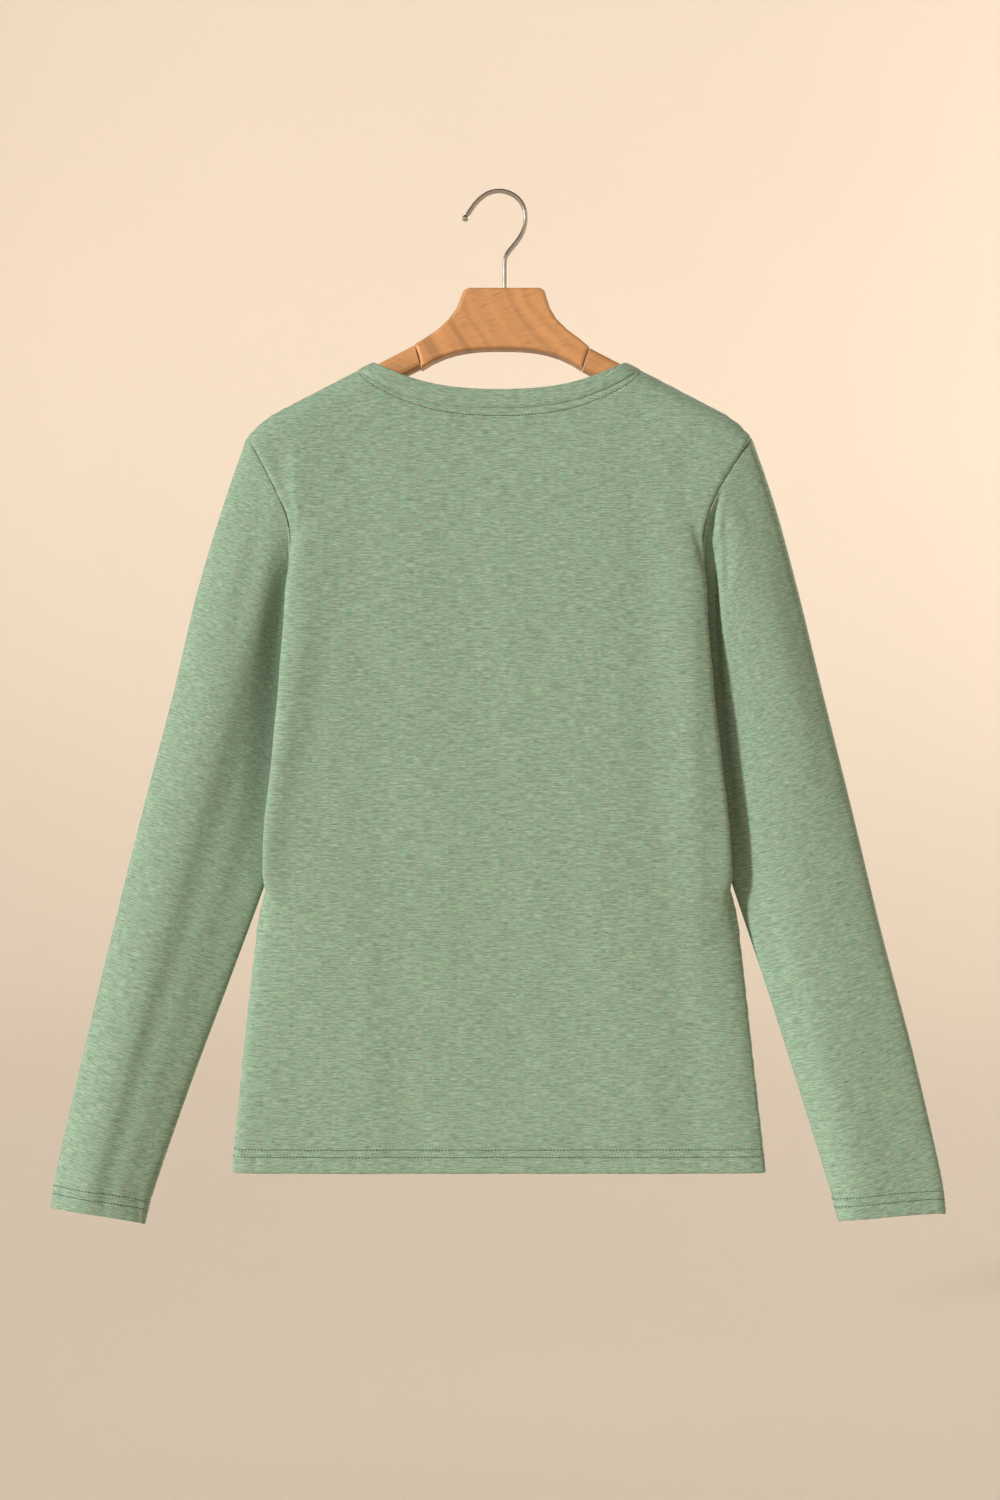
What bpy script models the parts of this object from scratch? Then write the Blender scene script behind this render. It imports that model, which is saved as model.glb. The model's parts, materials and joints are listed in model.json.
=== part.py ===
"""Long-sleeved V-neck T-shirt hanging on a wooden hanger with a wire hook.

Frame: metres, +Z up, +X to the right when the garment's back is looked at, +Y towards its front.
The origin is the top of the hook's inside, where a rail carries it.
Sizes below are in millimetres; the mesh builders turn them into metres.
"""
import bpy
import bmesh
import numpy as np

MM = 0.001

# Cloth and sewing
WALL = 1.5
HEM_WALL = 2.6
BAND_WALL = 1.8
SEAM_GAP = 0.3
NECK_GAP = 0.45
CORNER_SEAM_START = -252.0
CORNER_CLEARANCE = 1.2
SHARP_SEAM_START = -325.0
SHARP_CLEARANCE = 1.3
UNDERARM_CLEARANCE = 1.6
TURN_UP = 20.0
BAND_WIDTH = 13.6

# Places on the garment, measured from its own centre line
GARMENT_CENTRE = 1.5
NECK_ACROSS = 113.0
NECK_RIDGE_HEIGHT = -141.0
RIDGE_START = 108.5
RIDGE_SLOPE = 0.52
RIDGE_ROUND_START = 176.0
RIDGE_ROUND = 0.012
SHOULDER_ACROSS = 201.0
UNDERARM_HEIGHT = -395.0
HEM_HEIGHT = -784.0
BACK_NECK_LOW = -175.0
NECK_POWER = 2.5
V_POINT_HEIGHT = -295.0
V_BOW = 1.12
OVER_ARM_REACH = 22.0
OVER_ARM_POWER = 2.6
ROLL_RADIUS = 5.5
ROLL_DEPTH_SHARE = 0.9

# Hanger and hook
HANGER_CENTRE = 3.5
HANGER_THICK = 18.0
ARM_TALL = 18.5
ARM_STATIONS = 14
ARM_SECTION_POWER = 0.64
YOKE_BEVEL = 3.0
ARM_TIP_ACROSS = 186.0
ARM_BELOW_RIDGE = 2.3
JOINT_ACROSS = 70.0
JOINT_LEAN = -5.5
YOKE_SHIFT = 1.9
ARCH_TOP = -125.7
ARCH_POWER = 2.8
WIRE = 3.8
HOOK_BALL = 5.4
BALL_GAP = 0.3
HOOK_STATIONS = 40


def table(columns, *rows):
    """A short table with named columns, as one array for each column."""
    values = np.array(rows, dtype=float)
    return {name: values[:, i] for i, name in enumerate(columns.split())}


# The body by height: the side folds that show, the side seam inside its tuck, the half depth, how
# much of the tuck there is, and the power of the plain form, which is flatter the higher it is
BODY = table(
    "height edge_left edge_right seam_left seam_right depth tuck power",
    (-784.0, 213.1, 212.5, 213.1, 212.5, 14.5, 0.0, 7.0),
    (-700.0, 205.0, 203.0, 205.0, 203.0, 18.0, 0.0, 6.0),
    (-605.0, 194.7, 192.5, 194.7, 192.5, 22.0, 0.0, 4.4),
    (-577.0, 191.5, 189.7, 191.0, 189.0, 24.0, 0.25, 4.0),
    (-540.0, 188.0, 185.3, 180.0, 178.0, 26.0, 0.9, 4.0),
    (-497.0, 183.5, 180.0, 164.0, 163.0, 28.0, 1.0, 4.0),
    (-452.0, 178.3, 174.5, 145.0, 145.0, 29.0, 1.0, 4.0),
    (-418.0, 175.0, 170.5, 131.5, 131.5, 29.5, 1.0, 4.0),
    (-395.0, 173.0, 168.3, 129.0, 129.0, 29.5, 1.0, 4.0),
    (-341.0, 169.1, 163.9, 130.0, 130.0, 28.0, 1.0, 4.0),
    (-322.0, 168.2, 163.2, 130.0, 130.0, 27.0, 1.0, 4.0),
    (-284.0, 167.2, 162.8, 130.0, 130.0, 25.0, 0.45, 4.0),
    (-250.0, 171.0, 168.0, 130.0, 130.0, 23.0, 0.0, 4.0),
    (-200.0, 200.0, 200.0, 130.0, 130.0, 20.0, 0.0, 4.0),
    (-140.0, 200.0, 200.0, 130.0, 130.0, 18.0, 0.0, 4.0),
)

# The armhole seam by height: how far out it lies on each side, and its depth from the middle
ARMHOLE = table(
    "height left right depth",
    (-395.0, 129.0, 129.0, 0.0),
    (-385.0, 143.0, 142.0, 3.2),
    (-370.0, 157.0, 153.5, 7.0),
    (-350.0, 164.5, 160.0, 10.5),
    (-325.0, 166.6, 162.0, 12.6),
    (-300.0, 166.2, 161.8, 15.0),
    (-277.0, 165.2, 161.2, 18.0),
    (-262.0, 167.5, 164.5, 19.3),
    (-246.0, 174.5, 170.5, 19.5),
    (-222.5, 186.0, 184.0, 17.5),
    (-209.0, 193.5, 193.0, 16.0),
    (-196.6, 201.0, 201.0, 15.0),
)

# Each sleeve by ring, from the armhole (0) to the cuff (8): its outer and inner fold and half depth
SLEEVE_COLUMNS = "ring outer outer_height inner inner_height depth waist"
SLEEVES = {
    "left": table(
        SLEEVE_COLUMNS,
        (0.0, 201.0, -196.6, 132.5, -395.0, 21.0, 0.45),
        (1.0, 219.8, -250.0, 141.0, -418.0, 20.0, 0.45),
        (2.0, 241.0, -320.0, 153.0, -452.0, 19.0, 0.45),
        (3.0, 260.0, -400.0, 169.0, -497.0, 18.0, 0.5),
        (4.0, 283.5, -490.0, 189.5, -556.0, 17.0, 0.55),
        (5.0, 308.4, -590.0, 217.5, -632.0, 16.5, 0.65),
        (6.0, 332.5, -690.0, 248.5, -715.0, 15.0, 0.8),
        (7.0, 355.5, -791.0, 279.0, -804.0, 13.0, 0.95),
        (8.0, 358.3, -811.0, 284.0, -824.0, 12.5, 1.0),
    ),
    "right": table(
        SLEEVE_COLUMNS,
        (0.0, 201.0, -196.6, 132.5, -395.0, 21.0, 0.45),
        (1.0, 219.3, -250.0, 141.0, -418.0, 20.0, 0.45),
        (2.0, 238.5, -320.0, 152.5, -452.0, 19.0, 0.45),
        (3.0, 258.0, -400.0, 168.0, -497.0, 18.0, 0.5),
        (4.0, 280.5, -490.0, 188.0, -556.0, 17.0, 0.55),
        (5.0, 304.5, -590.0, 213.5, -632.0, 16.5, 0.65),
        (6.0, 330.5, -690.0, 240.0, -715.0, 15.0, 0.8),
        (7.0, 354.0, -796.0, 266.5, -801.5, 13.0, 0.95),
        (8.0, 356.0, -816.0, 271.5, -821.5, 12.5, 1.0),
    ),
}

# The wire's middle line from the foot of the stem, round the hook, to the ball
HOOK_PATH = np.array([
    (6.0, -76.6), (6.0, -70.0), (6.0, -63.0), (6.0, -56.5), (6.7, -50.6), (10.2, -45.2),
    (14.6, -39.8), (18.8, -33.8), (21.8, -26.6), (22.7, -19.0), (21.2, -11.4), (17.0, -4.7),
    (10.6, -0.1), (2.8, 1.9), (-5.0, 1.0), (-11.6, -2.4), (-17.0, -7.4), (-21.2, -13.0),
    (-24.0, -17.4),
])

# Large soft folds of the body: a trough (below 0) or ridge from one end to the other
BODY_FOLDS = table(
    "across height across_end height_end width rise",
    (-149.0, -330.0, -176.0, -700.0, 9.0, -3.6),
    (-128.0, -300.0, -136.0, -560.0, 13.0, 2.0),
    (143.0, -340.0, 150.0, -600.0, 12.0, 2.2),
    (120.0, -300.0, 128.0, -520.0, 10.0, -2.2),
    (-158.0, -215.0, -132.0, -330.0, 9.0, -2.4),
    (158.0, -215.0, 134.0, -330.0, 9.0, -2.2),
    (-60.0, -230.0, -20.0, -420.0, 26.0, -1.8),
    (62.0, -420.0, 96.0, -720.0, 30.0, 1.8),
)
SLEEVE_FOLDS = table(
    "ring share ring_end share_end width rise",
    (1.2, 0.52, 7.0, 0.36, 0.09, -2.4),
    (1.8, 0.74, 6.6, 0.66, 0.09, 1.6),
    (5.0, 0.30, 8.0, 0.55, 0.08, -1.5),
)

ARMHOLE_STEPS = 12
BODY_ROWS = (-784.0, -765.0, -764.0, -715.0, -660.0, -608.0, -568.0, -535.0, -500.0, -465.0,
             -435.0, -412.0)
SLEEVE_RINGS = (0.0, 0.3, 0.7, 1.2, 1.8, 2.4, 3.0, 3.6, 4.3, 5.0, 5.7, 6.4, 6.96, 7.0, 8.0)
SECTION_POINTS = 8
NECK_SHARES = np.sin(np.radians([0, 18, 36, 54, 70, 81, 90]))
OUTER_PLACES = np.array([3.0, 3.5, 4.0, 4.5, 5.2, 6.0, 7.0])
PLAIN_SHARES = np.array([0.0, 0.36, 0.66, 0.84, 0.93, 0.975, 0.994, 1.0])

GREEN = (0.255, 0.345, 0.225)
WOOD = (0.55, 0.25, 0.095)
STEEL = (0.60, 0.58, 0.55)


def clear_scene():
    for item in list(bpy.data.objects):
        bpy.data.objects.remove(item, do_unlink=True)


def material(name, colour, roughness, metallic=0.0):
    made = bpy.data.materials.get(name) or bpy.data.materials.new(name)
    made.use_nodes = True
    shader = made.node_tree.nodes["Principled BSDF"]
    shader.inputs["Base Color"].default_value = (*colour, 1.0)
    shader.inputs["Roughness"].default_value = roughness
    shader.inputs["Metallic"].default_value = metallic
    return made


def follow(rows, key, name, place):
    """A smooth curve through one column, with no overshoot: cubic pieces, harmonic mean slopes."""
    x = rows[key]
    y = rows[name]
    step = np.diff(x)
    secant = np.diff(y) / step
    slope = np.empty_like(y)
    slope[0] = secant[0]
    slope[-1] = secant[-1]
    product = secant[:-1] * secant[1:]
    total = np.where(product > 0, secant[:-1] + secant[1:], 1.0)
    slope[1:-1] = np.where(product > 0, 2 * product / total, 0.0)
    i = np.clip(np.searchsorted(x, place) - 1, 0, len(step) - 1)
    t = np.clip((place - x[i]) / step[i], 0.0, 1.0)
    return (y[i] * (1 + 2 * t) * (1 - t) ** 2 + y[i + 1] * t * t * (3 - 2 * t)
            + step[i] * t * (1 - t) * (slope[i] * (1 - t) - slope[i + 1] * t))


def ridge(across):
    """Height of the shoulder line: a straight slope that rounds down to the shoulder point."""
    a = np.abs(across)
    return (NECK_RIDGE_HEIGHT - RIDGE_SLOPE * (a - RIDGE_START)
            - RIDGE_ROUND * np.maximum(a - RIDGE_ROUND_START, 0.0) ** 2)


def over_arm(across, height):
    """Share of the full depth: a rounded rise from the shoulder line down over the hanger's arm."""
    q = np.clip((ridge(across) - height) / OVER_ARM_REACH, 0.0, 1.0)
    return (1 - (1 - q) ** OVER_ARM_POWER) ** (1 / OVER_ARM_POWER)


def neckline(face, across, inset=0.0):
    """Height of the neck seam: a flat power curve behind, a V with slightly bowed sides in front.

    inset moves the curve by the band's width, to the band's free edge.
    """
    end = NECK_ACROSS - 0.86 * inset
    share = np.clip(np.abs(across) / end, 0.0, 1.0)
    if face < 0:
        low = BACK_NECK_LOW + 1.07 * inset
        return low + (ridge(end) - low) * share ** NECK_POWER
    low = V_POINT_HEIGHT + 1.65 * inset
    return low + (ridge(end) - low) * share ** V_BOW


def spline_weights(places, count):
    """Catmull-Rom weights of each control point at each place, with the ends carried straight on."""
    base = np.eye(count)
    padded = np.vstack([2 * base[0] - base[1], base, 2 * base[-1] - base[-2]])
    i = np.clip(places.astype(int), 0, count - 2)
    t = (places - i)[:, None]
    p0, p1, p2, p3 = padded[i], padded[i + 1], padded[i + 2], padded[i + 3]
    return 0.5 * (2 * p1 + (p2 - p0) * t + (2 * p0 - 5 * p1 + 4 * p2 - p3) * t ** 2
                  + (3 * p1 - p0 - 3 * p2 + p3) * t ** 3)


def armhole(side, height):
    """Place (across, depth) of the armhole seam at a height."""
    across = follow(ARMHOLE, "height", side, height)
    depth = follow(ARMHOLE, "height", "depth", height) * over_arm(across, height)
    return across, depth


def section_controls(side, heights):
    """Control points (across, depth) of half a body section at each height.

    The plain form is a flat curve that rounds in at its end. The tucked form rolls over at the
    side fold and runs back in to the seam.
    """
    edge = follow(BODY, "height", "edge_" + side, heights)
    depth = follow(BODY, "height", "depth", heights)
    tuck = follow(BODY, "height", "tuck", heights)[:, None, None]
    low_seam = follow(BODY, "height", "seam_" + side, heights)
    upper = heights > UNDERARM_HEIGHT
    seam = np.where(upper, follow(ARMHOLE, "height", side, heights), low_seam)
    seam_depth = np.where(upper, follow(ARMHOLE, "height", "depth", heights), 0.0)
    plain_x = seam[:, None] * PLAIN_SHARES
    power = follow(BODY, "height", "power", heights)[:, None]
    drop = (1 - PLAIN_SHARES ** power) ** (1 / power)
    plain_y = seam_depth[:, None] + (depth - seam_depth)[:, None] * drop
    plain = np.stack([plain_x, plain_y], axis=2)
    crest_y = ROLL_DEPTH_SHARE * depth
    r = ROLL_RADIUS
    tip = np.stack([edge, crest_y - r], axis=1)
    end = np.stack([seam, seam_depth], axis=1)
    deep = np.stack([edge - 0.9 * r, crest_y - 2.1 * r], axis=1)
    shallow = np.clip(seam_depth / (crest_y - 2.1 * r), 0.0, 1.0)[:, None]
    back = (1 - shallow) * deep + shallow * (tip + end) / 2
    near = end + (back - end) * (np.array([0.12, 0.48]) * (1 - shallow) + 0.5 * shallow)
    rolled = np.stack([
        np.stack([0 * edge, depth], axis=1),
        np.stack([0.36 * edge, depth], axis=1),
        np.stack([0.70 * edge, 0.97 * depth], axis=1),
        np.stack([edge - 1.3 * r, crest_y], axis=1),
        tip, back, near, end], axis=1)
    return (1 - tuck) * plain + tuck * rolled


def body_folds(across, height):
    """Sum of soft folds: each a bell across its line, faded out past its two ends."""
    total = np.zeros_like(across)
    for i in range(len(BODY_FOLDS["rise"])):
        f = {name: column[i] for name, column in BODY_FOLDS.items()}
        run = np.clip((height - f["height"]) / (f["height_end"] - f["height"]), -0.5, 1.5)
        line = f["across"] + (f["across_end"] - f["across"]) * run
        fade = np.clip(1.25 - np.abs(run - 0.5) * 1.6, 0.0, 1.0)
        bell = np.exp(-((across - line) / f["width"]) ** 2)
        total += f["rise"] * bell * fade * fade * (3 - 2 * fade)
    return total


def even_steps(controls):
    """The side roll of each section, from its crest to the seam, in steps of even length."""
    fine = np.linspace(OUTER_PLACES[0], OUTER_PLACES[-1], 120)
    path = np.einsum("cp,rpk->rck", spline_weights(fine, SECTION_POINTS), controls)
    length = np.linalg.norm(np.diff(path, axis=1), axis=2).cumsum(axis=1)
    length = np.concatenate([np.zeros((len(path), 1)), length], axis=1)
    wanted = np.linspace(0, 1, len(OUTER_PLACES)) * length[:, -1:]
    return np.stack([
        np.stack([np.interp(want, run, line[:, axis]) for want, run, line in zip(wanted, length, path)])
        for axis in (0, 1)], axis=2)


def half_panel(face, side, heights):
    """Middle surface of half a panel, rows from the hem to the neck, columns from centre to side."""
    sign = -1 if side == "left" else 1
    controls = section_controls(side, heights)
    dense = np.linspace(0, SECTION_POINTS - 1, 300)
    top_dense = spline_weights(dense, SECTION_POINTS) @ controls[-1]
    inside_neck = np.interp(NECK_ACROSS * NECK_SHARES, top_dense[:, 0], dense)
    middle = (inside_neck[-1] + OUTER_PLACES[0]) / 2
    places = np.concatenate([inside_neck, [middle], OUTER_PLACES])
    grid = np.einsum("cp,rpk->rck", spline_weights(places, SECTION_POINTS), controls)
    grid[:, -len(OUTER_PLACES):] = even_steps(controls)
    across = grid[:, :, 0]
    depth = grid[:, :, 1]
    top_height = np.where(across[-1] <= NECK_ACROSS + 0.01, neckline(face, across[-1]) - NECK_GAP,
                          ridge(across[-1]))
    point = ridge(SHOULDER_ACROSS)
    rise = np.clip((heights - UNDERARM_HEIGHT) / (point - UNDERARM_HEIGHT), 0.0, 1.0) ** 1.5
    height = heights[:, None] + rise[:, None] * (top_height - point)
    inner = 1 - (places / places[-1]) ** 6
    ratio = follow(BODY, "height", "depth", height) / follow(BODY, "height", "depth", heights)[:, None]
    depth = depth * ratio ** inner * over_arm(across, height)
    fold_weight = np.clip(places[-1] - 1.0 - places, 0.0, 1.0)
    fade_top = np.clip((ridge(across) - height) / 40.0, 0.0, 1.0)
    depth = depth + body_folds(sign * across, height) * fold_weight * fade_top
    points = np.stack([sign * across, face * (depth + SEAM_GAP / 2), height], axis=2)
    return retract(points, heights)


def seam_clearance(heights):
    """How far a piece stops short of the armhole seam: wide where the walls meet at a corner."""
    corner = np.clip((CORNER_SEAM_START - heights) / 25.0, 0.0, 1.0)
    sharp = np.clip((SHARP_SEAM_START - heights) / 15.0, 0.0, 1.0)
    return SEAM_GAP + 0.05 + CORNER_CLEARANCE * corner + SHARP_CLEARANCE * sharp


def retract(points, heights):
    """Pull the last column back along its row, above the underarm, to leave room for the sleeve."""
    upper = heights > UNDERARM_HEIGHT + 1.0
    step = points[:, -2] - points[:, -1]
    length = np.linalg.norm(step, axis=1, keepdims=True)
    pull = np.where(upper, seam_clearance(heights), 0.0)[:, None]
    points[:, -1] += step / length * pull
    return points


def armhole_heights():
    """Heights along the armhole, closest at its ends, shared by panels and sleeves."""
    u = (1 - np.cos(np.linspace(0, np.pi, ARMHOLE_STEPS + 1))) / 2
    return UNDERARM_HEIGHT + (ridge(SHOULDER_ACROSS) - UNDERARM_HEIGHT) * u


def panel(face):
    """Middle surface of a whole panel, columns from the left seam to the right seam."""
    heights = np.concatenate([BODY_ROWS, armhole_heights()])
    left = half_panel(face, "left", heights)
    right = half_panel(face, "right", heights)
    return np.concatenate([left[:, :0:-1], right], axis=1), heights


def sleeve(side):
    """Middle surface of a sleeve: rings that turn from the armhole's curve to the cuff's.

    A ring is a flattened loop between its inner and outer fold, thinner at the inner fold. The
    first ring is the armhole seam itself, and its difference fades out over the next rings.
    """
    rows = SLEEVES[side]
    sign = -1 if side == "left" else 1
    rings = np.array(SLEEVE_RINGS)
    angle = np.linspace(0, 2 * np.pi, 2 * ARMHOLE_STEPS + 1)[:-1]
    share = (1 - np.cos(angle)) / 2
    column = {name: follow(rows, "ring", name, rings)[:, None] for name in rows}
    across = column["inner"] + (column["outer"] - column["inner"]) * share
    height = column["inner_height"] + (column["outer_height"] - column["inner_height"]) * share
    plump = column["waist"] + (1 - column["waist"]) * share ** 1.2
    depth = -column["depth"] * plump * np.sin(angle)
    points = np.stack([across, depth, height], axis=2)
    seam_height = armhole_heights()
    out, deep = armhole(side, seam_height)
    back = np.stack([out, -deep - SEAM_GAP / 2, seam_height], axis=1)
    back[0, 1] = 0.0
    back[-1, 1] = 0.0
    front = back[-2:0:-1] * np.array([1.0, -1.0, 1.0])
    seam = np.concatenate([back, front])
    fade = np.clip(1 - rings / 3.2, 0.0, 1.0) ** 1.6
    points = points + fade[:, None, None] * (seam - points[0])
    folds = sleeve_folds(rings[:, None], share)
    points[:, :, 1] += np.sign(depth) * folds * np.abs(np.sin(angle))
    step = points[1] - points[0]
    length = np.linalg.norm(step, axis=1, keepdims=True)
    low = np.clip((UNDERARM_HEIGHT + 16.0 - points[0, :, 2]) / 12.0, 0.0, 1.0)
    pull = seam_clearance(points[0, :, 2]) + UNDERARM_CLEARANCE * low
    points[0] += step / length * pull[:, None]
    points[:, :, 0] *= sign
    return points, rings


def sleeve_folds(rings, share):
    """Soft folds along the sleeve, in ring number and share of the way from inner to outer fold."""
    total = 0.0
    for i in range(len(SLEEVE_FOLDS["rise"])):
        f = {name: column[i] for name, column in SLEEVE_FOLDS.items()}
        run = (rings - f["ring"]) / (f["ring_end"] - f["ring"])
        line = f["share"] + (f["share_end"] - f["share"]) * run
        fade = np.clip(1.25 - np.abs(run - 0.5) * 1.6, 0.0, 1.0)
        total = total + f["rise"] * np.exp(-((share - line) / f["width"]) ** 2) * fade
    return total


def neckband():
    """Middle surface of the neckband: a ring of short columns from its seam to its free edge."""
    columns = []
    outward = NECK_SHARES[:-1]
    inward = NECK_SHARES[:0:-1]
    for sign, face, shares in ((-1, -1, outward), (-1, 1, inward), (1, 1, outward), (1, -1, inward)):
        for inset in (0.0, 0.5 * BAND_WIDTH, BAND_WIDTH):
            across = shares * (NECK_ACROSS - 0.86 * inset)
            height = neckline(face, across, inset)
            depth = follow(BODY, "height", "depth", height) * over_arm(across, height)
            columns.append(np.stack([sign * across, face * depth, height], axis=1))
    rows = [np.concatenate(columns[i::3]) for i in range(3)]
    return np.stack(rows)


def wall_object(name, middle, outer, inner, closed, colour_material, face=0):
    """A closed wall: the middle surface moved out and in along its own normals, with its rims.

    outer and inner are the two offsets for each row. closed joins the last column to the first.
    face keeps a panel's wall on its own side of the seams that lie in the middle plane.
    """
    rows, columns = middle.shape[:2]
    if closed:
        ring = np.concatenate([middle[:, -1:], middle, middle[:, :1]], axis=1)
        along = np.gradient(ring, axis=1)[:, 1:-1]
    else:
        along = np.gradient(middle, axis=1)
    normal = np.cross(along, np.gradient(middle, axis=0))
    normal /= np.linalg.norm(normal, axis=2, keepdims=True)
    outside = middle + normal * np.reshape(outer, (-1, 1, 1))
    inside = middle - normal * np.reshape(inner, (-1, 1, 1))
    vertices = np.concatenate([outside.reshape(-1, 3), inside.reshape(-1, 3)])
    vertices[:, 0] += GARMENT_CENTRE
    if face:
        vertices[:, 1] = face * np.maximum(face * vertices[:, 1], SEAM_GAP / 2)
    index = np.arange(rows * columns).reshape(rows, columns)
    other = np.roll(index, -1, axis=1)
    last = columns if closed else columns - 1
    a, b = index[:-1, :last], other[:-1, :last]
    c, d = other[1:, :last], index[1:, :last]
    quads = np.stack([a, b, c, d], axis=-1).reshape(-1, 4)
    size = rows * columns
    faces = [quads, quads[:, ::-1] + size]
    low, high = index[0, :last], other[0, :last]
    faces.append(np.stack([low, low + size, high + size, high], axis=-1))
    low, high = index[-1, :last], other[-1, :last]
    faces.append(np.stack([low, high, high + size, low + size], axis=-1))
    if not closed:
        low, high = index[:-1, 0], index[1:, 0]
        faces.append(np.stack([low, high, high + size, low + size], axis=-1))
        low, high = index[:-1, -1], index[1:, -1]
        faces.append(np.stack([low, low + size, high + size, high], axis=-1))
    return mesh_object(name, vertices, np.concatenate(faces).tolist(), colour_material)


def mesh_object(name, vertices, faces, colour_material):
    mesh = bpy.data.meshes.new(name)
    mesh.from_pydata((vertices * MM).tolist(), [], faces)
    mesh.validate()
    mesh.shade_smooth()
    mesh.materials.append(colour_material)
    made = bpy.data.objects.new(name, mesh)
    bpy.context.collection.objects.link(made)
    return made


def turned_wall(places, turn, wall, thick):
    """Inner offset for each row: the wall's half, or more within the turn-up."""
    return np.where(turn(places), thick - wall / 2, wall / 2)


def build_cloth(cloth):
    for name, face in (("back", -1), ("front", 1)):
        middle, heights = panel(face)
        if face > 0:
            middle = middle[:, ::-1]
        inner = turned_wall(heights, lambda h: h <= HEM_HEIGHT + TURN_UP - 0.5, WALL, HEM_WALL)
        wall_object(name, middle, np.full(len(heights), WALL / 2), inner, False, cloth, face)
    for side in ("left", "right"):
        middle, rings = sleeve(side)
        middle = middle[::-1] if side == "left" else middle[::-1, ::-1]
        inner = turned_wall(rings[::-1], lambda r: r >= 6.99, WALL, HEM_WALL)
        wall_object("sleeve_" + side, middle, np.full(len(rings), WALL / 2), inner, True, cloth)
    band = neckband()[:, ::-1]
    half = np.full(len(band), BAND_WALL / 2)
    wall_object("neckband", band, half, half, True, cloth)


def slab(name, outline, thickness, bevel, colour_material):
    """A flat outline in X and Z, thickened evenly about Y and with its long edges rounded."""
    mesh = bpy.data.meshes.new(name)
    bm = bmesh.new()
    half = thickness / 2
    ring = [bm.verts.new((x * MM, -half * MM, z * MM)) for x, z in outline]
    face = bm.faces.new(ring)
    made = bmesh.ops.extrude_face_region(bm, geom=[face])
    moved = [item for item in made["geom"] if isinstance(item, bmesh.types.BMVert)]
    bmesh.ops.translate(bm, verts=moved, vec=(0, thickness * MM, 0))
    bmesh.ops.recalc_face_normals(bm, faces=bm.faces)
    rims = [edge for edge in bm.edges if abs(edge.verts[0].co.y - edge.verts[1].co.y) < 0.1 * MM]
    bmesh.ops.bevel(bm, geom=rims, offset=bevel * MM, segments=3, profile=0.5, affect="EDGES")
    bm.to_mesh(mesh)
    bm.free()
    mesh.shade_smooth()
    mesh.set_sharp_from_angle(angle=0.7)
    mesh.materials.append(colour_material)
    item = bpy.data.objects.new(name, mesh)
    bpy.context.collection.objects.link(item)
    return item


def arm_top(across):
    """Upper edge of the hanger's arm, just under the shoulder line; across is from the garment's centre."""
    return ridge(across) - ARM_BELOW_RIDGE


def build_arm(side, sign, wood):
    """An arm as rounded sections between its upper and lower edge, closing to a round tip.

    A section is a superellipse: height follows the cosine and thickness the sine, both to a power.
    """
    joint = JOINT_ACROSS + sign * (HANGER_CENTRE - GARMENT_CENTRE)
    run = np.sin(np.linspace(0, np.pi / 2, ARM_STATIONS))
    far = joint + (ARM_TIP_ACROSS - joint) * run
    closing = np.sqrt(np.clip((1.0 - run) / 0.07, 0.05, 1.0))
    top = arm_top(far)
    tall = ARM_TALL * (1 - 0.28 * run ** 2)
    turn = np.linspace(0, 2 * np.pi, 20, endpoint=False)
    up = np.sign(np.cos(turn)) * np.abs(np.cos(turn)) ** ARM_SECTION_POWER
    out = np.sign(np.sin(turn)) * np.abs(np.sin(turn)) ** ARM_SECTION_POWER
    z = (top - tall / 2)[:, None] + (tall / 2 * closing)[:, None] * up
    y = (HANGER_THICK / 2 * closing)[:, None] * out
    lean = JOINT_LEAN * (1 - up) / 2
    x = far[:, None] + lean * (1 - run)[:, None]
    points = np.stack([GARMENT_CENTRE + sign * x, y, z], axis=2)
    if sign < 0:
        points = points[:, ::-1]
    rows, columns = points.shape[:2]
    index = np.arange(rows * columns).reshape(rows, columns)
    other = np.roll(index, -1, axis=1)
    quads = np.stack([index[:-1], other[:-1], other[1:], index[1:]], axis=-1).reshape(-1, 4)
    faces = quads[:, ::-1].tolist() + [index[0].tolist(), index[-1, ::-1].tolist()]
    mesh_object("hanger_arm_" + side, points.reshape(-1, 3), faces, wood)


def build_hanger(wood):
    build_arm("left", -1, wood)
    build_arm("right", 1, wood)
    slab("hanger_yoke", yoke_outline(), HANGER_THICK, YOKE_BEVEL, wood)


def yoke_outline():
    """Outline of the yoke: raised middle under the hook, shoulders, joints and the arch below."""
    ends = []
    for sign in (-1, 1):
        joint = JOINT_ACROSS + sign * (HANGER_CENTRE - GARMENT_CENTRE) - SEAM_GAP
        top = float(arm_top(joint))
        ends.append((GARMENT_CENTRE + sign * joint, top))
        ends.append((GARMENT_CENTRE + sign * (joint + JOINT_LEAN), top - ARM_TALL))
    left_top, left_low, right_top, right_low = ends
    rise = ((-62.0, -117.5), (-52.0, -110.5), (-43.0, -102.0), (-37.5, -93.5), (-34.5, -85.0),
            (-32.5, -79.5), (-28.5, -77.0))
    shift = [YOKE_SHIFT * (z - rise[0][1]) / (rise[-1][1] - rise[0][1]) for x, z in rise]
    left = [(HANGER_CENTRE + x + s, z) for (x, z), s in zip(rise, shift)]
    right = [(HANGER_CENTRE - x + s, z) for (x, z), s in zip(rise[::-1], shift[::-1])]
    arch_x = np.linspace(right_low[0], left_low[0], 15)
    middle = (right_low[0] + left_low[0]) / 2
    half = (right_low[0] - left_low[0]) / 2
    low = (right_low[1] + left_low[1]) / 2
    arch_z = low + (ARCH_TOP - low) * (1 - np.abs((arch_x - middle) / half) ** ARCH_POWER)
    arch = list(zip(arch_x, arch_z))
    return [left_top] + left + right + [right_top] + arch


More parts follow.
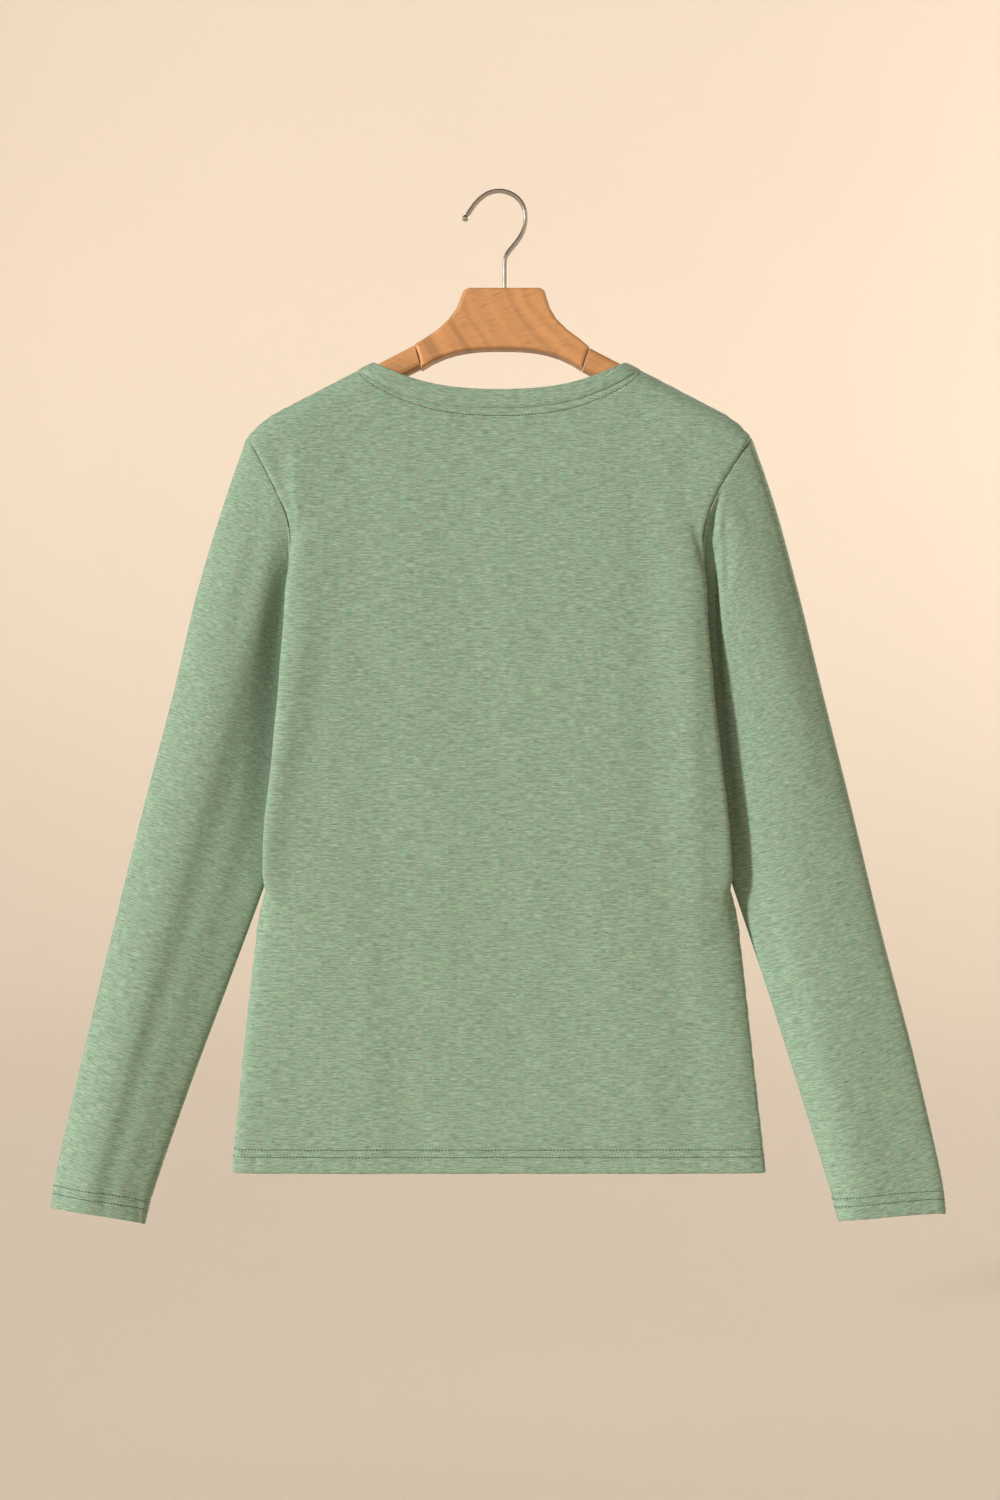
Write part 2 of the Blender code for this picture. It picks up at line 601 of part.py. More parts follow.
def build_hook(steel):
    """Bent wire: a straight stem, a neck to the side, then a curve over the rail to a ball."""
    count = len(HOOK_PATH)
    path = spline_weights(np.linspace(0, count - 1, HOOK_STATIONS), count) @ HOOK_PATH
    curve = bpy.data.curves.new("hanger_hook", "CURVE")
    curve.dimensions = "3D"
    curve.bevel_depth = WIRE / 2 * MM
    curve.bevel_resolution = 3
    curve.use_fill_caps = True
    spline = curve.splines.new("POLY")
    spline.points.add(len(path) - 1)
    for point, (x, z) in zip(spline.points, path):
        point.co = (x * MM, 0.0, z * MM, 1.0)
    item = bpy.data.objects.new("hanger_hook", curve)
    item.data.materials.append(steel)
    bpy.context.collection.objects.link(item)
    along = path[-1] - path[-2]
    tip = path[-1] + along / np.linalg.norm(along) * (0.5 * HOOK_BALL + BALL_GAP)
    mesh = bpy.data.meshes.new("hook_ball")
    bm = bmesh.new()
    bmesh.ops.create_uvsphere(bm, u_segments=14, v_segments=9, radius=HOOK_BALL / 2 * MM)
    bmesh.ops.translate(bm, verts=bm.verts, vec=(tip[0] * MM, 0.0, tip[1] * MM))
    bm.to_mesh(mesh)
    bm.free()
    mesh.shade_smooth()
    mesh.materials.append(steel)
    ball = bpy.data.objects.new("hook_ball", mesh)
    bpy.context.collection.objects.link(ball)


def main():
    clear_scene()
    build_cloth(material("cloth", GREEN, 0.85))
    build_hanger(material("wood", WOOD, 0.45))
    build_hook(material("steel", STEEL, 0.25, 1.0))


main()
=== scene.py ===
"""Looks of the long-sleeved V-neck T-shirt on its wooden hanger: cloth, sewing, wood, wire, studio.

Sizes in the tables and constants are millimetres unless a name says otherwise; meshes are in metres.
+X is to the right when the garment's back is looked at, +Y is towards its front, +Z is up.
"""
import json

import bpy
import numpy as np
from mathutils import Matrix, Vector

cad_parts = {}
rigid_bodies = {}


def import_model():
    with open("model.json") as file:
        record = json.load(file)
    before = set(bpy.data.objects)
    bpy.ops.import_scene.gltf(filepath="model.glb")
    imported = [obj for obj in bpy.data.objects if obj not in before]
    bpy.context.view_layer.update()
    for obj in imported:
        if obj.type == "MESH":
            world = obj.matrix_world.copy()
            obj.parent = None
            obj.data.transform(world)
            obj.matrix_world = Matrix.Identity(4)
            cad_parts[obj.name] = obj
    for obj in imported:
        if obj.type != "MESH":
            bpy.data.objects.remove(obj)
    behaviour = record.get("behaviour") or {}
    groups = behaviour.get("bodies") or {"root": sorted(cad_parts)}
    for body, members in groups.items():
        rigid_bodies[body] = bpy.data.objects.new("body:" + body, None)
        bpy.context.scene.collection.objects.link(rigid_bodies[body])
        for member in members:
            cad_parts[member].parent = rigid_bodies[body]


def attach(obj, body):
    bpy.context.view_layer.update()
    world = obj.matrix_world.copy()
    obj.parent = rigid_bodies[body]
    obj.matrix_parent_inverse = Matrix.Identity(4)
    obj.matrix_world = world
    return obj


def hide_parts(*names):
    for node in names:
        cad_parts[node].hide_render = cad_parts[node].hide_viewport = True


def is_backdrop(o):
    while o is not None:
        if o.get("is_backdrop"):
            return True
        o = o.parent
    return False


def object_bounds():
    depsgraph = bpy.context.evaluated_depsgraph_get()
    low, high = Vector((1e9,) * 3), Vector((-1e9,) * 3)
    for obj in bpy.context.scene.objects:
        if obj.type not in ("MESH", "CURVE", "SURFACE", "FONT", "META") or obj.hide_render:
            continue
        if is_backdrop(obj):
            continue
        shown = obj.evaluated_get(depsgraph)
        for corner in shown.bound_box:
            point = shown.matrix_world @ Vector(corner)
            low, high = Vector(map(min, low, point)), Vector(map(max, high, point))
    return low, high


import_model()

bl_info = {
    "name": "Hanging V-neck T-shirt",
    "version": (1, 0, 0),
    "blender": (4, 5, 0),
    "location": "View3D > Sidebar > Shirt",
    "description": "Builds the cloth, the sewing, the hanger's finishes and a plain studio",
    "category": "Add Mesh",
}

MM = 0.001
WHITE = (1.0, 1.0, 1.0)

# The camera's place in metres, and the directions towards the lights
CAMERA_PLACE = (0.002, -1.5, -0.4453)
KEY_DIRECTION = (-0.795, -0.574, 0.198)
FAR_SIDE_DIRECTION = (0.70, 0.60, 0.38)

# Cut and sewing of the cloth
SEAM_GAP = 0.3
NECK_GAP = 0.3
CORNER_SEAM_START = -252.0
CORNER_CLEARANCE = 0.7
UNDERARM_CLEARANCE = 1.6
TURN_UP = 20.0
BAND_WIDTH = 13.6
# How far a wall's rounded edge stands out, as a share of its thickness
RIM_SHARE = 0.3
# Distances of the stitch rows from the hem, the cuff and the neck seam
HEM_ROWS = (12.7, 18.6)
CUFF_ROWS = (11.0, 17.5)
NECK_ROW = 6.0
# Depth and width of the dip at a panel's seams
SEAM_DIP = 0.9
SEAM_DIP_WIDTH = 2.2

# Places on the garment, measured from its own centre line
GARMENT_CENTRE = 1.5
NECK_ACROSS = 113.0
NECK_RIDGE_HEIGHT = -141.0
RIDGE_START = 108.5
RIDGE_SLOPE = 0.52
RIDGE_ROUND_START = 176.0
RIDGE_ROUND = 0.012
SHOULDER_ACROSS = 201.0
UNDERARM_HEIGHT = -395.0
HEM_HEIGHT = -780.5
BACK_NECK_LOW = -175.0
NECK_POWER = 2.5
V_POINT_HEIGHT = -295.0
V_BOW = 1.12
OVER_ARM_REACH = 22.0
OVER_ARM_POWER = 2.6
ROLL_RADIUS = 5.5
ROLL_DEPTH_SHARE = 0.9


def table(columns, *rows):
    """A short table with named columns, as one array for each column."""
    values = np.array(rows, dtype=float)
    return {name: values[:, i] for i, name in enumerate(columns.split())}


# The body by height: the side folds that show, the side seam inside its tuck, the half depth, how
# much of the tuck there is, and the power of the plain form, which is flatter the higher it is
BODY = table(
    "height edge_left edge_right seam_left seam_right depth tuck power",
    (-780.5, 212.9, 212.3, 212.9, 212.3, 14.5, 0, 7),
    (-700, 205, 203, 205, 203, 18, 0, 6),
    (-605, 194.7, 192.5, 194.7, 192.5, 22, 0, 4.4),
    (-577, 191.5, 189.7, 191, 189, 24, 0.25, 4),
    (-540, 188, 185.3, 180, 178, 26, 0.9, 4),
    (-497, 183.5, 180, 164, 163, 28, 1, 4),
    (-452, 178.3, 174.5, 145, 145, 29, 1, 4),
    (-418, 175, 170.5, 131.5, 131.5, 29.5, 1, 4),
    (-395, 173, 168.3, 129, 129, 29.5, 1, 4),
    (-341, 169.1, 163.9, 130, 130, 28, 1, 4),
    (-322, 168.2, 163.2, 130, 130, 27, 1, 4),
    (-284, 167.2, 162.8, 130, 130, 25, 0.45, 4),
    (-250, 171, 168, 130, 130, 23, 0, 4),
    (-200, 200, 200, 130, 130, 20, 0, 4),
    (-140, 200, 200, 130, 130, 18, 0, 4),
)

# The armhole seam by height: how far out it lies on each side, and its depth from the middle
ARMHOLE = table(
    "height left right depth",
    (-395, 129, 129, 0),
    (-385, 143, 142, 3.2),
    (-370, 157, 153.5, 7),
    (-350, 164.5, 160, 10.5),
    (-325, 166.6, 162, 12.6),
    (-300, 166.2, 161.8, 15),
    (-277, 165.2, 161.2, 18),
    (-262, 167.5, 164.5, 19.3),
    (-246, 174.5, 170.5, 19.5),
    (-222.5, 186, 184, 17.5),
    (-209, 193.5, 193, 16),
    (-196.6, 201, 201, 15),
)

# Each sleeve by ring, from the armhole (0) to the cuff (8): its outer and inner fold, its half
# depth, and the share of that depth (waist) that is left at the inner fold
SLEEVE_COLUMNS = "ring outer outer_height inner inner_height depth waist"
SLEEVES = {
    "left": table(
        SLEEVE_COLUMNS,
        (0, 201, -196.6, 132.5, -395, 21, 0.45),
        (1, 219.8, -250, 141, -418, 20, 0.45),
        (2, 241, -320, 153, -452, 19, 0.45),
        (3, 260, -400, 169, -497, 18, 0.5),
        (4, 283.5, -490, 189.5, -556, 17, 0.55),
        (5, 308.4, -590, 217.5, -632, 16.5, 0.65),
        (6, 332.5, -690, 248.5, -715, 15, 0.8),
        (7, 355.5, -791, 279, -804, 13, 0.95),
        (8, 358.3, -811, 284, -824, 12.5, 1),
    ),
    "right": table(
        SLEEVE_COLUMNS,
        (0, 201, -196.6, 132.5, -395, 21, 0.45),
        (1, 219.3, -250, 141, -418, 20, 0.45),
        (2, 238.5, -320, 152.5, -452, 19, 0.45),
        (3, 258, -400, 168, -497, 18, 0.5),
        (4, 280.5, -490, 188, -556, 17, 0.55),
        (5, 304.5, -590, 213.5, -632, 16.5, 0.65),
        (6, 330.5, -690, 240, -715, 15, 0.8),
        (7, 354, -796, 266.5, -801.5, 13, 0.95),
        (8, 356, -816, 271.5, -821.5, 12.5, 1),
    ),
}

# Creases of the body: a trough (rise below 0) or ridge from one end to the other. bow shifts its
# middle sideways. near and far are its widths towards the lower and the higher across.
CREASE_COLUMNS = "across height across_end height_end bow near far rise"
BACK_CREASES = (
    (-150, -318, -193, -565, 0, 26, 14, 4.6),
    (-160, -300, -200, -700, 0, 18, 60, 1.8),
    (-204, -600, -213, -800, 0, 5, 15, 1.7),
    (-160.5, -205, -160, -318, 0, 5, 12, 1.7),
    (-177, -212, -173, -240, 0, 5, 5, -1),
    (150, -275, 157, -600, 0, 20, 7, 1.6),
    (112, -280, 124, -560, 0, 22, 14, -0.6),
    (150, -205, 144, -270, 0, 9, 9, -0.8),
    (-60, -230, -20, -420, 0, 30, 30, -0.6),
    (62, -420, 96, -720, 0, 40, 40, 0.7),
    (-96, -560, -118, -790, 4, 26, 40, 0.7),
    (140, -590, 168, -790, 0, 24, 24, -0.9),
)
FRONT_CREASES = (
    (-149, -318, -180, -690, 3, 9, 40, -3),
    (150, -322, 184, -650, -3, 44, 9, -3.2),
    (158, -212, 140, -330, 0, 20, 6, -2.4),
    (-159, -214, -138, -345, 3, 6, 24, -2.5),
    (-126, -300, -104, -520, 6, 16, 26, 1),
    (112, -290, 96, -560, -5, 26, 15, 1.1),
    (-28, -318, -44, -560, 4, 18, 30, -0.8),
    (30, -330, 58, -600, -6, 30, 20, -0.7),
    (-88, -540, -112, -790, 5, 24, 36, 0.9),
    (90, -560, 126, -790, 0, 34, 26, 0.8),
)
BODY_CREASES = {
    "back": table(CREASE_COLUMNS, *BACK_CREASES),
    "front": table(CREASE_COLUMNS, *FRONT_CREASES),
}

# Creases of the sleeves, by ring and by share of the way from the inner fold to the outer one.
# side is -1 on the back of the sleeve and 1 on its front, 0 on both.
SLEEVE_CREASE_COLUMNS = "side ring share ring_end share_end bow near far rise"
SLEEVE_CREASES = {
    "left": table(
        SLEEVE_CREASE_COLUMNS,
        (-1, 1, 0.24, 8.5, 0.06, 0, 0.30, 0.26, -2.6),
        (-1, 0.2, 0.34, 3.4, 0.22, 0, 0.30, 0.30, -2.6),
        (-1, 2.2, 0.50, 8.5, 0.46, 0.01, 0.10, 0.07, -1),
        (-1, 2.2, 0.32, 8.5, 0.28, 0, 0.10, 0.08, 0.9),
        (-1, 0.9, 0.80, 8.4, 0.76, 0, 0.16, 0.16, 1.3),
        (-1, 0.6, 0.60, 8.6, 0.54, 0, 0.13, 0.28, 3.4),
        (-1, 0.6, 0.86, 1.8, 0.80, 0, 0.035, 0.04, 0.9),
        (-1, 0.5, 0.78, 2, 0.70, 0, 0.05, 0.05, -0.9),
        (1, 1.2, 0.44, 6.5, 0.30, 0.03, 0.10, 0.14, -2),
        (1, 2, 0.72, 7, 0.62, 0, 0.09, 0.09, 1.4),
    ),
    "right": table(
        SLEEVE_CREASE_COLUMNS,
        (-1, 3.4, 0.34, 7, 0.22, 0, 0.12, 0.40, 3),
        (-1, 0.3, 0.86, 3.6, 0.76, 0, 0.40, 0.10, 3.4),
        (-1, 5.2, 0.05, 9, 0.05, 0, 0.20, 0.30, 4.5),
        (-1, 3, 0.92, 8.6, 0.90, 0, 0.40, 0.22, -3),
        (-1, 0.3, 0.74, 0.95, 0.62, 0, 0.05, 0.05, -2.2),
        (-1, 0.3, 0.88, 1.3, 0.84, 0, 0.05, 0.04, -1.2),
        (1, 1.2, 0.50, 6.8, 0.34, 0.03, 0.12, 0.12, -2),
        (1, 1.8, 0.74, 6.6, 0.66, 0, 0.09, 0.09, 1.5),
    ),
}

# Beside the body each sleeve drops behind the body's edge. By height: how deep, how wide the full
# depth is, and how wide the slope beyond it.
DROP_COLUMNS = "height depth width slope"
SLEEVE_DROPS = {
    "left": table(
        DROP_COLUMNS,
        (-560, 0, 0, 30),
        (-480, 3, 1, 30),
        (-400, 5.5, 1, 26),
        (-330, 5, 1, 22),
        (-285, 2, 0, 16),
        (-262, 0, 0, 12),
    ),
    "right": table(
        DROP_COLUMNS,
        (-560, 0, 8, 4),
        (-480, 3.5, 8.5, 4),
        (-400, 6, 9, 3.6),
        (-330, 7.5, 9.5, 3.2),
        (-275, 6.5, 8, 3),
        (-252, 3, 4, 3),
        (-240, 0, 1, 3),
    ),
}

# Above this height the armhole seam alone is the body's edge for the drop
SEAM_EDGE_START = -284.0

# How far the cuff's edge rises for each unit of depth, away from its two folds
CUFF_RISE = 0.3
# How much flatter than an ellipse a sleeve's loop is at the cuff
SLEEVE_FLATNESS = {"left": 0.0, "right": 0.5}

# Half a body section's control points, places along its side roll, and the plain form's shares
SECTION_POINTS = 8
OUTER_PLACES = np.array([3.0, 3.5, 4.0, 4.5, 5.2, 6.0, 7.0])
PLAIN_SHARES = np.array([0.0, 0.36, 0.66, 0.84, 0.93, 0.975, 0.994, 1.0])
# Columns under the neck follow a sine up to this angle, closer together towards its corner
NECK_TURN = 0.85 * np.pi / 2


def clamp(value):
    """The value held between 0 and 1."""
    return np.clip(value, 0.0, 1.0)


def unit(vectors):
    """Vectors brought to length 1."""
    return vectors / np.maximum(np.linalg.norm(vectors, axis=-1, keepdims=True), 1e-9)


def follow(rows, name, place):
    """A column over the table's first one, with no overshoot: cubic pieces, harmonic mean slopes."""
    x = next(iter(rows.values()))
    y = rows[name]
    step = np.diff(x)
    secant = np.diff(y) / step
    slope = np.empty_like(y)
    slope[0] = secant[0]
    slope[-1] = secant[-1]
    product = secant[:-1] * secant[1:]
    total = np.where(product > 0, secant[:-1] + secant[1:], 1.0)
    slope[1:-1] = np.where(product > 0, 2 * product / total, 0.0)
    i = np.clip(np.searchsorted(x, place) - 1, 0, len(step) - 1)
    t = clamp((place - x[i]) / step[i])
    return (y[i] * (1 + 2 * t) * (1 - t) ** 2 + y[i + 1] * t * t * (3 - 2 * t)
            + step[i] * t * (1 - t) * (slope[i] * (1 - t) - slope[i + 1] * t))


def ridge(across):
    """Height of the shoulder line: a straight slope that rounds down to the shoulder point."""
    a = np.abs(across)
    return (NECK_RIDGE_HEIGHT - RIDGE_SLOPE * (a - RIDGE_START)
            - RIDGE_ROUND * np.maximum(a - RIDGE_ROUND_START, 0.0) ** 2)


def over_arm(across, height):
    """Share of the full depth: (1 - (1 - q)^p)^(1/p), where q runs from 0 on the shoulder line to 1."""
    q = clamp((ridge(across) - height) / OVER_ARM_REACH)
    return (1 - (1 - q) ** OVER_ARM_POWER) ** (1 / OVER_ARM_POWER)


def neckline(face, across, inset=0.0):
    """Height of the neck seam: a flat power curve behind, a V with slightly bowed sides in front."""
    end = NECK_ACROSS - 0.86 * inset
    share = clamp(np.abs(across) / end)
    if face < 0:
        low = BACK_NECK_LOW + 1.07 * inset
        return low + (ridge(end) - low) * share ** NECK_POWER
    low = V_POINT_HEIGHT + 1.65 * inset
    return low + (ridge(end) - low) * share ** V_BOW


def spline_weights(places, count):
    """Catmull-Rom weights of each control point at each place, with the ends carried straight on."""
    base = np.eye(count)
    padded = np.vstack([2 * base[0] - base[1], base, 2 * base[-1] - base[-2]])
    i = np.clip(places.astype(int), 0, count - 2)
    t = (places - i)[:, None]
    p0, p1, p2, p3 = padded[i], padded[i + 1], padded[i + 2], padded[i + 3]
    return 0.5 * (2 * p1 + (p2 - p0) * t + (2 * p0 - 5 * p1 + 4 * p2 - p3) * t ** 2
                  + (3 * p1 - p0 - 3 * p2 + p3) * t ** 3)


def waves(place, length, seed):
    """Uneven ripple between -1 and 1: four sines whose lengths are no simple shares of each other."""
    ratios = np.array([0.61, 1.0, 1.43, 2.17])
    weights = np.array([0.2, 0.4, 0.25, 0.15])
    phases = np.array([1.7, 4.1, 0.6, 2.9]) * (seed + 1.0)
    turns = np.asarray(place)[..., None] / (length * ratios) * 2 * np.pi + phases
    return (np.sin(turns) * weights).sum(axis=-1)


def armhole(side, height):
    """Place (across, depth) of the armhole seam at a height."""
    across = follow(ARMHOLE, side, height)
    depth = follow(ARMHOLE, "depth", height) * over_arm(across, height)
    return across, depth


def section_controls(side, heights):
    """Control points (across, depth) of half a body section at each height.

    The plain form is a flat superellipse. The tucked form rolls over at the side fold and runs
    back in to the seam. The tuck column blends the two.
    """
    edge = follow(BODY, "edge_" + side, heights)
    depth = follow(BODY, "depth", heights)
    tuck = follow(BODY, "tuck", heights)[:, None, None]
    low_seam = follow(BODY, "seam_" + side, heights)
    upper = heights > UNDERARM_HEIGHT
    seam = np.where(upper, follow(ARMHOLE, side, heights), low_seam)
    seam_depth = np.where(upper, follow(ARMHOLE, "depth", heights), 0.0)
    plain_x = seam[:, None] * PLAIN_SHARES
    power = follow(BODY, "power", heights)[:, None]
    drop = (1 - PLAIN_SHARES ** power) ** (1 / power)
    plain_y = seam_depth[:, None] + (depth - seam_depth)[:, None] * drop
    plain = np.stack([plain_x, plain_y], axis=2)
    crest_y = ROLL_DEPTH_SHARE * depth
    r = ROLL_RADIUS
    tip = np.stack([edge, crest_y - r], axis=1)
    end = np.stack([seam, seam_depth], axis=1)
    deep = np.stack([edge - 0.9 * r, crest_y - 2.1 * r], axis=1)
    shallow = clamp(seam_depth / (crest_y - 2.1 * r))[:, None]
    back = (1 - shallow) * deep + shallow * (tip + end) / 2
    near = end + (back - end) * (np.array([0.12, 0.48]) * (1 - shallow) + 0.5 * shallow)
    top_x = np.stack([0 * edge, 0.36 * edge, 0.70 * edge, edge - 1.3 * r], axis=1)
    top_y = np.stack([depth, depth, 0.97 * depth, crest_y], axis=1)
    rolled = np.concatenate([np.stack([top_x, top_y], axis=2), np.stack([tip, back, near, end], axis=1)],
                            axis=1)
    return (1 - tuck) * plain + tuck * rolled


def crease_sum(rows, first, second, keys, choose=None):
    """Sum of soft creases: each a bell across its line, bowed sideways and faded past its two ends.

    The bell has its own width on each side of the line. choose is the face that a point is on.
    """
    total = np.zeros(np.broadcast(first, second).shape)
    for i in range(len(rows["rise"])):
        f = {name: column[i] for name, column in rows.items()}
        run = (second - f[keys[1]]) / (f[keys[1] + "_end"] - f[keys[1]])
        within = np.clip(run, -0.5, 1.5)
        line = f[keys[0]] + (f[keys[0] + "_end"] - f[keys[0]]) * within
        line = line + f["bow"] * np.sin(np.pi * clamp(run))
        width = np.where(first < line, f["near"], f["far"])
        fade = clamp(1.25 - np.abs(within - 0.5) * 1.6)
        part = f["rise"] * np.exp(-((first - line) / width) ** 2) * fade * fade * (3 - 2 * fade)
        if choose is not None and f["side"]:
            part = part * (choose * f["side"] > 0)
        total += part
    return total


def even_steps(controls, count):
    """The side roll of each section, from its crest to the seam, in steps of even length."""
    fine = np.linspace(OUTER_PLACES[0], OUTER_PLACES[-1], 160)
    path = np.einsum("cp,rpk->rck", spline_weights(fine, SECTION_POINTS), controls)
    length = np.linalg.norm(np.diff(path, axis=1), axis=2).cumsum(axis=1)
    length = np.concatenate([np.zeros((len(path), 1)), length], axis=1)
    wanted = np.linspace(0, 1, count) * length[:, -1:]
    return np.stack([
        np.stack([np.interp(want, run, line[:, axis]) for want, run, line in zip(wanted, length, path)])
        for axis in (0, 1)], axis=2)


def half_panel(face, side, heights, counts):
    """Middle surface of half a panel, rows from the hem to the neck, columns from centre to side."""
    sign = -1 if side == "left" else 1
    neck_count, flank_count, roll_count = counts
    controls = section_controls(side, heights)
    dense = np.linspace(0, SECTION_POINTS - 1, 400)
    top_dense = spline_weights(dense, SECTION_POINTS) @ controls[-1]
    shares = np.sin(np.linspace(0, NECK_TURN, neck_count)) / np.sin(NECK_TURN)
    inside_neck = np.interp(NECK_ACROSS * shares, top_dense[:, 0], dense)
    flank = np.linspace(inside_neck[-1], OUTER_PLACES[0], flank_count + 1)[1:-1]
    roll = np.interp(np.linspace(0, 1, roll_count), np.linspace(0, 1, len(OUTER_PLACES)), OUTER_PLACES)
    places = np.concatenate([inside_neck, flank, roll])
    grid = np.einsum("cp,rpk->rck", spline_weights(places, SECTION_POINTS), controls)
    grid[:, -roll_count:] = even_steps(controls, roll_count)
    across = grid[:, :, 0]
    depth = grid[:, :, 1]
    gap = NECK_GAP * (1 - 2 * bell(across[-1] - NECK_ACROSS, 5.0))
    top_height = np.where(across[-1] <= NECK_ACROSS + 0.01, neckline(face, across[-1]) - gap,
                          ridge(across[-1]))
    point = ridge(SHOULDER_ACROSS)
    rise = clamp((heights - UNDERARM_HEIGHT) / (point - UNDERARM_HEIGHT)) ** 1.5
    height = heights[:, None] + rise[:, None] * (top_height - point)
    inner = 1 - (places / places[-1]) ** 6
    ratio = follow(BODY, "depth", height) / follow(BODY, "depth", heights)[:, None]
    depth = depth * ratio ** inner * over_arm(across, height)
    fold_weight = clamp(places[-1] - 1.0 - places)
    fade_top = clamp((ridge(across) - height) / 40.0)
    rows = BODY_CREASES["back" if face < 0 else "front"]
    folds = crease_sum(rows, sign * across, height, ("across", "height"))
    depth = depth + folds * fold_weight * fade_top
    points = np.stack([sign * across, face * (depth + SEAM_GAP / 2), height], axis=2)
    return retract(points, heights)


def seam_clearance(heights):
    """How far a piece stops short of the armhole seam: wider where the walls meet at a corner."""
    corner = clamp((CORNER_SEAM_START - heights) / 25.0)
    return SEAM_GAP + CORNER_CLEARANCE * corner


def pulled(edge, beside, distance):
    """An edge moved by a distance towards the line beside it, but no more than 0.8 of the way."""
    step = beside - edge
    length = np.linalg.norm(step, axis=1, keepdims=True)
    return edge + step / length * np.minimum(distance[:, None], 0.8 * length)


def retract(points, heights):
    """Pull the last column back along its row, above the underarm, to leave room for the sleeve."""
    pull = np.where(heights > UNDERARM_HEIGHT + 1.0, seam_clearance(heights), 0.0)
    points[:, -1] = pulled(points[:, -1], points[:, -2], pull)
    return points


def panel_heights(rows_below, rows_above):
    """Heights of the rows: close together in the turn-up and towards the shoulder line."""
    turn_up = np.linspace(HEM_HEIGHT, HEM_HEIGHT + TURN_UP + 2.0, rows_below // 8)
    body = np.linspace(HEM_HEIGHT + TURN_UP + 2.0, UNDERARM_HEIGHT, rows_below - len(turn_up) + 1)[1:]
    t = np.linspace(0, 1, rows_above + 1)[1:]
    top = UNDERARM_HEIGHT + (ridge(SHOULDER_ACROSS) - UNDERARM_HEIGHT) * (1 - (1 - t) ** 1.8)
    return np.concatenate([turn_up, body, top])


def panel(face, counts, rows):
    """Middle surface of a whole panel, columns from the left seam to the right seam."""
    heights = panel_heights(*rows)
    left = half_panel(face, "left", heights, counts)
    right = half_panel(face, "right", heights, counts)
    return np.concatenate([left[:, :0:-1], right], axis=1), heights


def sleeve(side, ring_count, half_count):
    """Middle surface of a sleeve: rings that turn from the armhole's curve to the cuff's.

    A ring is a flattened loop between its inner and outer fold, thinner at the inner fold. The
    first ring is the armhole seam itself, and its difference fades out over the next rings.
    """
    rows = SLEEVES[side]
    sign = -1 if side == "left" else 1
    first = 3.0 * np.linspace(0, 1, ring_count // 2) ** 1.25
    rings = np.concatenate([first, np.linspace(3.0, 7.0, ring_count // 3)[1:],
                            np.linspace(7.0, 8.0, ring_count // 8)[1:]])
    angle = np.linspace(0, 2 * np.pi, 2 * half_count + 1)[:-1]
    share = (1 - np.cos(angle)) / 2
    column = {name: follow(rows, name, rings)[:, None] for name in rows}
    across = column["inner"] + (column["outer"] - column["inner"]) * share
    height = column["inner_height"] + (column["outer_height"] - column["inner_height"]) * share
    plump = column["waist"] + (1 - column["waist"]) * share ** 1.2
    flat = 1 - SLEEVE_FLATNESS[side] * clamp((rings[:, None] - 4.0) / 3.0)
    depth = -column["depth"] * plump * np.sign(np.sin(angle)) * np.abs(np.sin(angle)) ** flat
    height = height + CUFF_RISE * np.abs(depth) * clamp((rings[:, None] - 5.0) / 3.0)
    points = np.stack([across, depth, height], axis=2)
    seam_share = share[:half_count + 1]
    seam_height = UNDERARM_HEIGHT + (ridge(SHOULDER_ACROSS) - UNDERARM_HEIGHT) * seam_share
    out, deep = armhole(side, seam_height)
    back = np.stack([out, -deep - SEAM_GAP / 2, seam_height], axis=1)
    back[0, 1] = 0.0
    back[-1, 1] = 0.0
    front = back[-2:0:-1] * np.array([1.0, -1.0, 1.0])
    seam = np.concatenate([back, front])
    fade = clamp(1 - rings / 3.2) ** 1.6
    points = points + fade[:, None, None] * (seam - points[0])
    folds = crease_sum(SLEEVE_CREASES[side], share[None, :] + 0 * rings[:, None],
                       rings[:, None] + 0 * share[None, :], ("share", "ring"), np.sign(depth))
    folds = folds * np.abs(np.sin(angle)) - beside_body(side, points)
    points[:, :, 1] += np.sign(depth) * folds
    low = clamp((UNDERARM_HEIGHT + 16.0 - points[0, :, 2]) / 12.0)
    pull = seam_clearance(points[0, :, 2]) + UNDERARM_CLEARANCE * low
    points[0] = pulled(points[0], points[1], pull)
    points[:, :, 0] *= sign
    return points, rings


def beside_body(side, points):
    """How far the sleeve drops beside the body's edge: full depth up to a width, then a short slope.

    Right at the seam it starts from nothing, as 1 - exp(-(distance / 2)^2).
    """
    across, height = points[:, :, 0], points[:, :, 2]
    rows = SLEEVE_DROPS[side]
    above = height > rows["height"][-1]
    below = height < rows["height"][0]
    deep = np.where(above | below, 0.0, follow(rows, "depth", height))
    wide = follow(rows, "width", height)
    slope = follow(rows, "slope", height)
    edge = np.maximum(follow(BODY, "edge_" + side, height),
                      follow(ARMHOLE, side, height))
    edge = np.where(height > SEAM_EDGE_START, follow(ARMHOLE, side, height), edge)
    beyond = clamp((across - edge - wide) / slope)
    from_seam = np.linalg.norm(points - points[:1], axis=2)
    return deep * (1 - beyond * beyond * (3 - 2 * beyond)) * (1 - np.exp(-(from_seam / 2.0) ** 2))


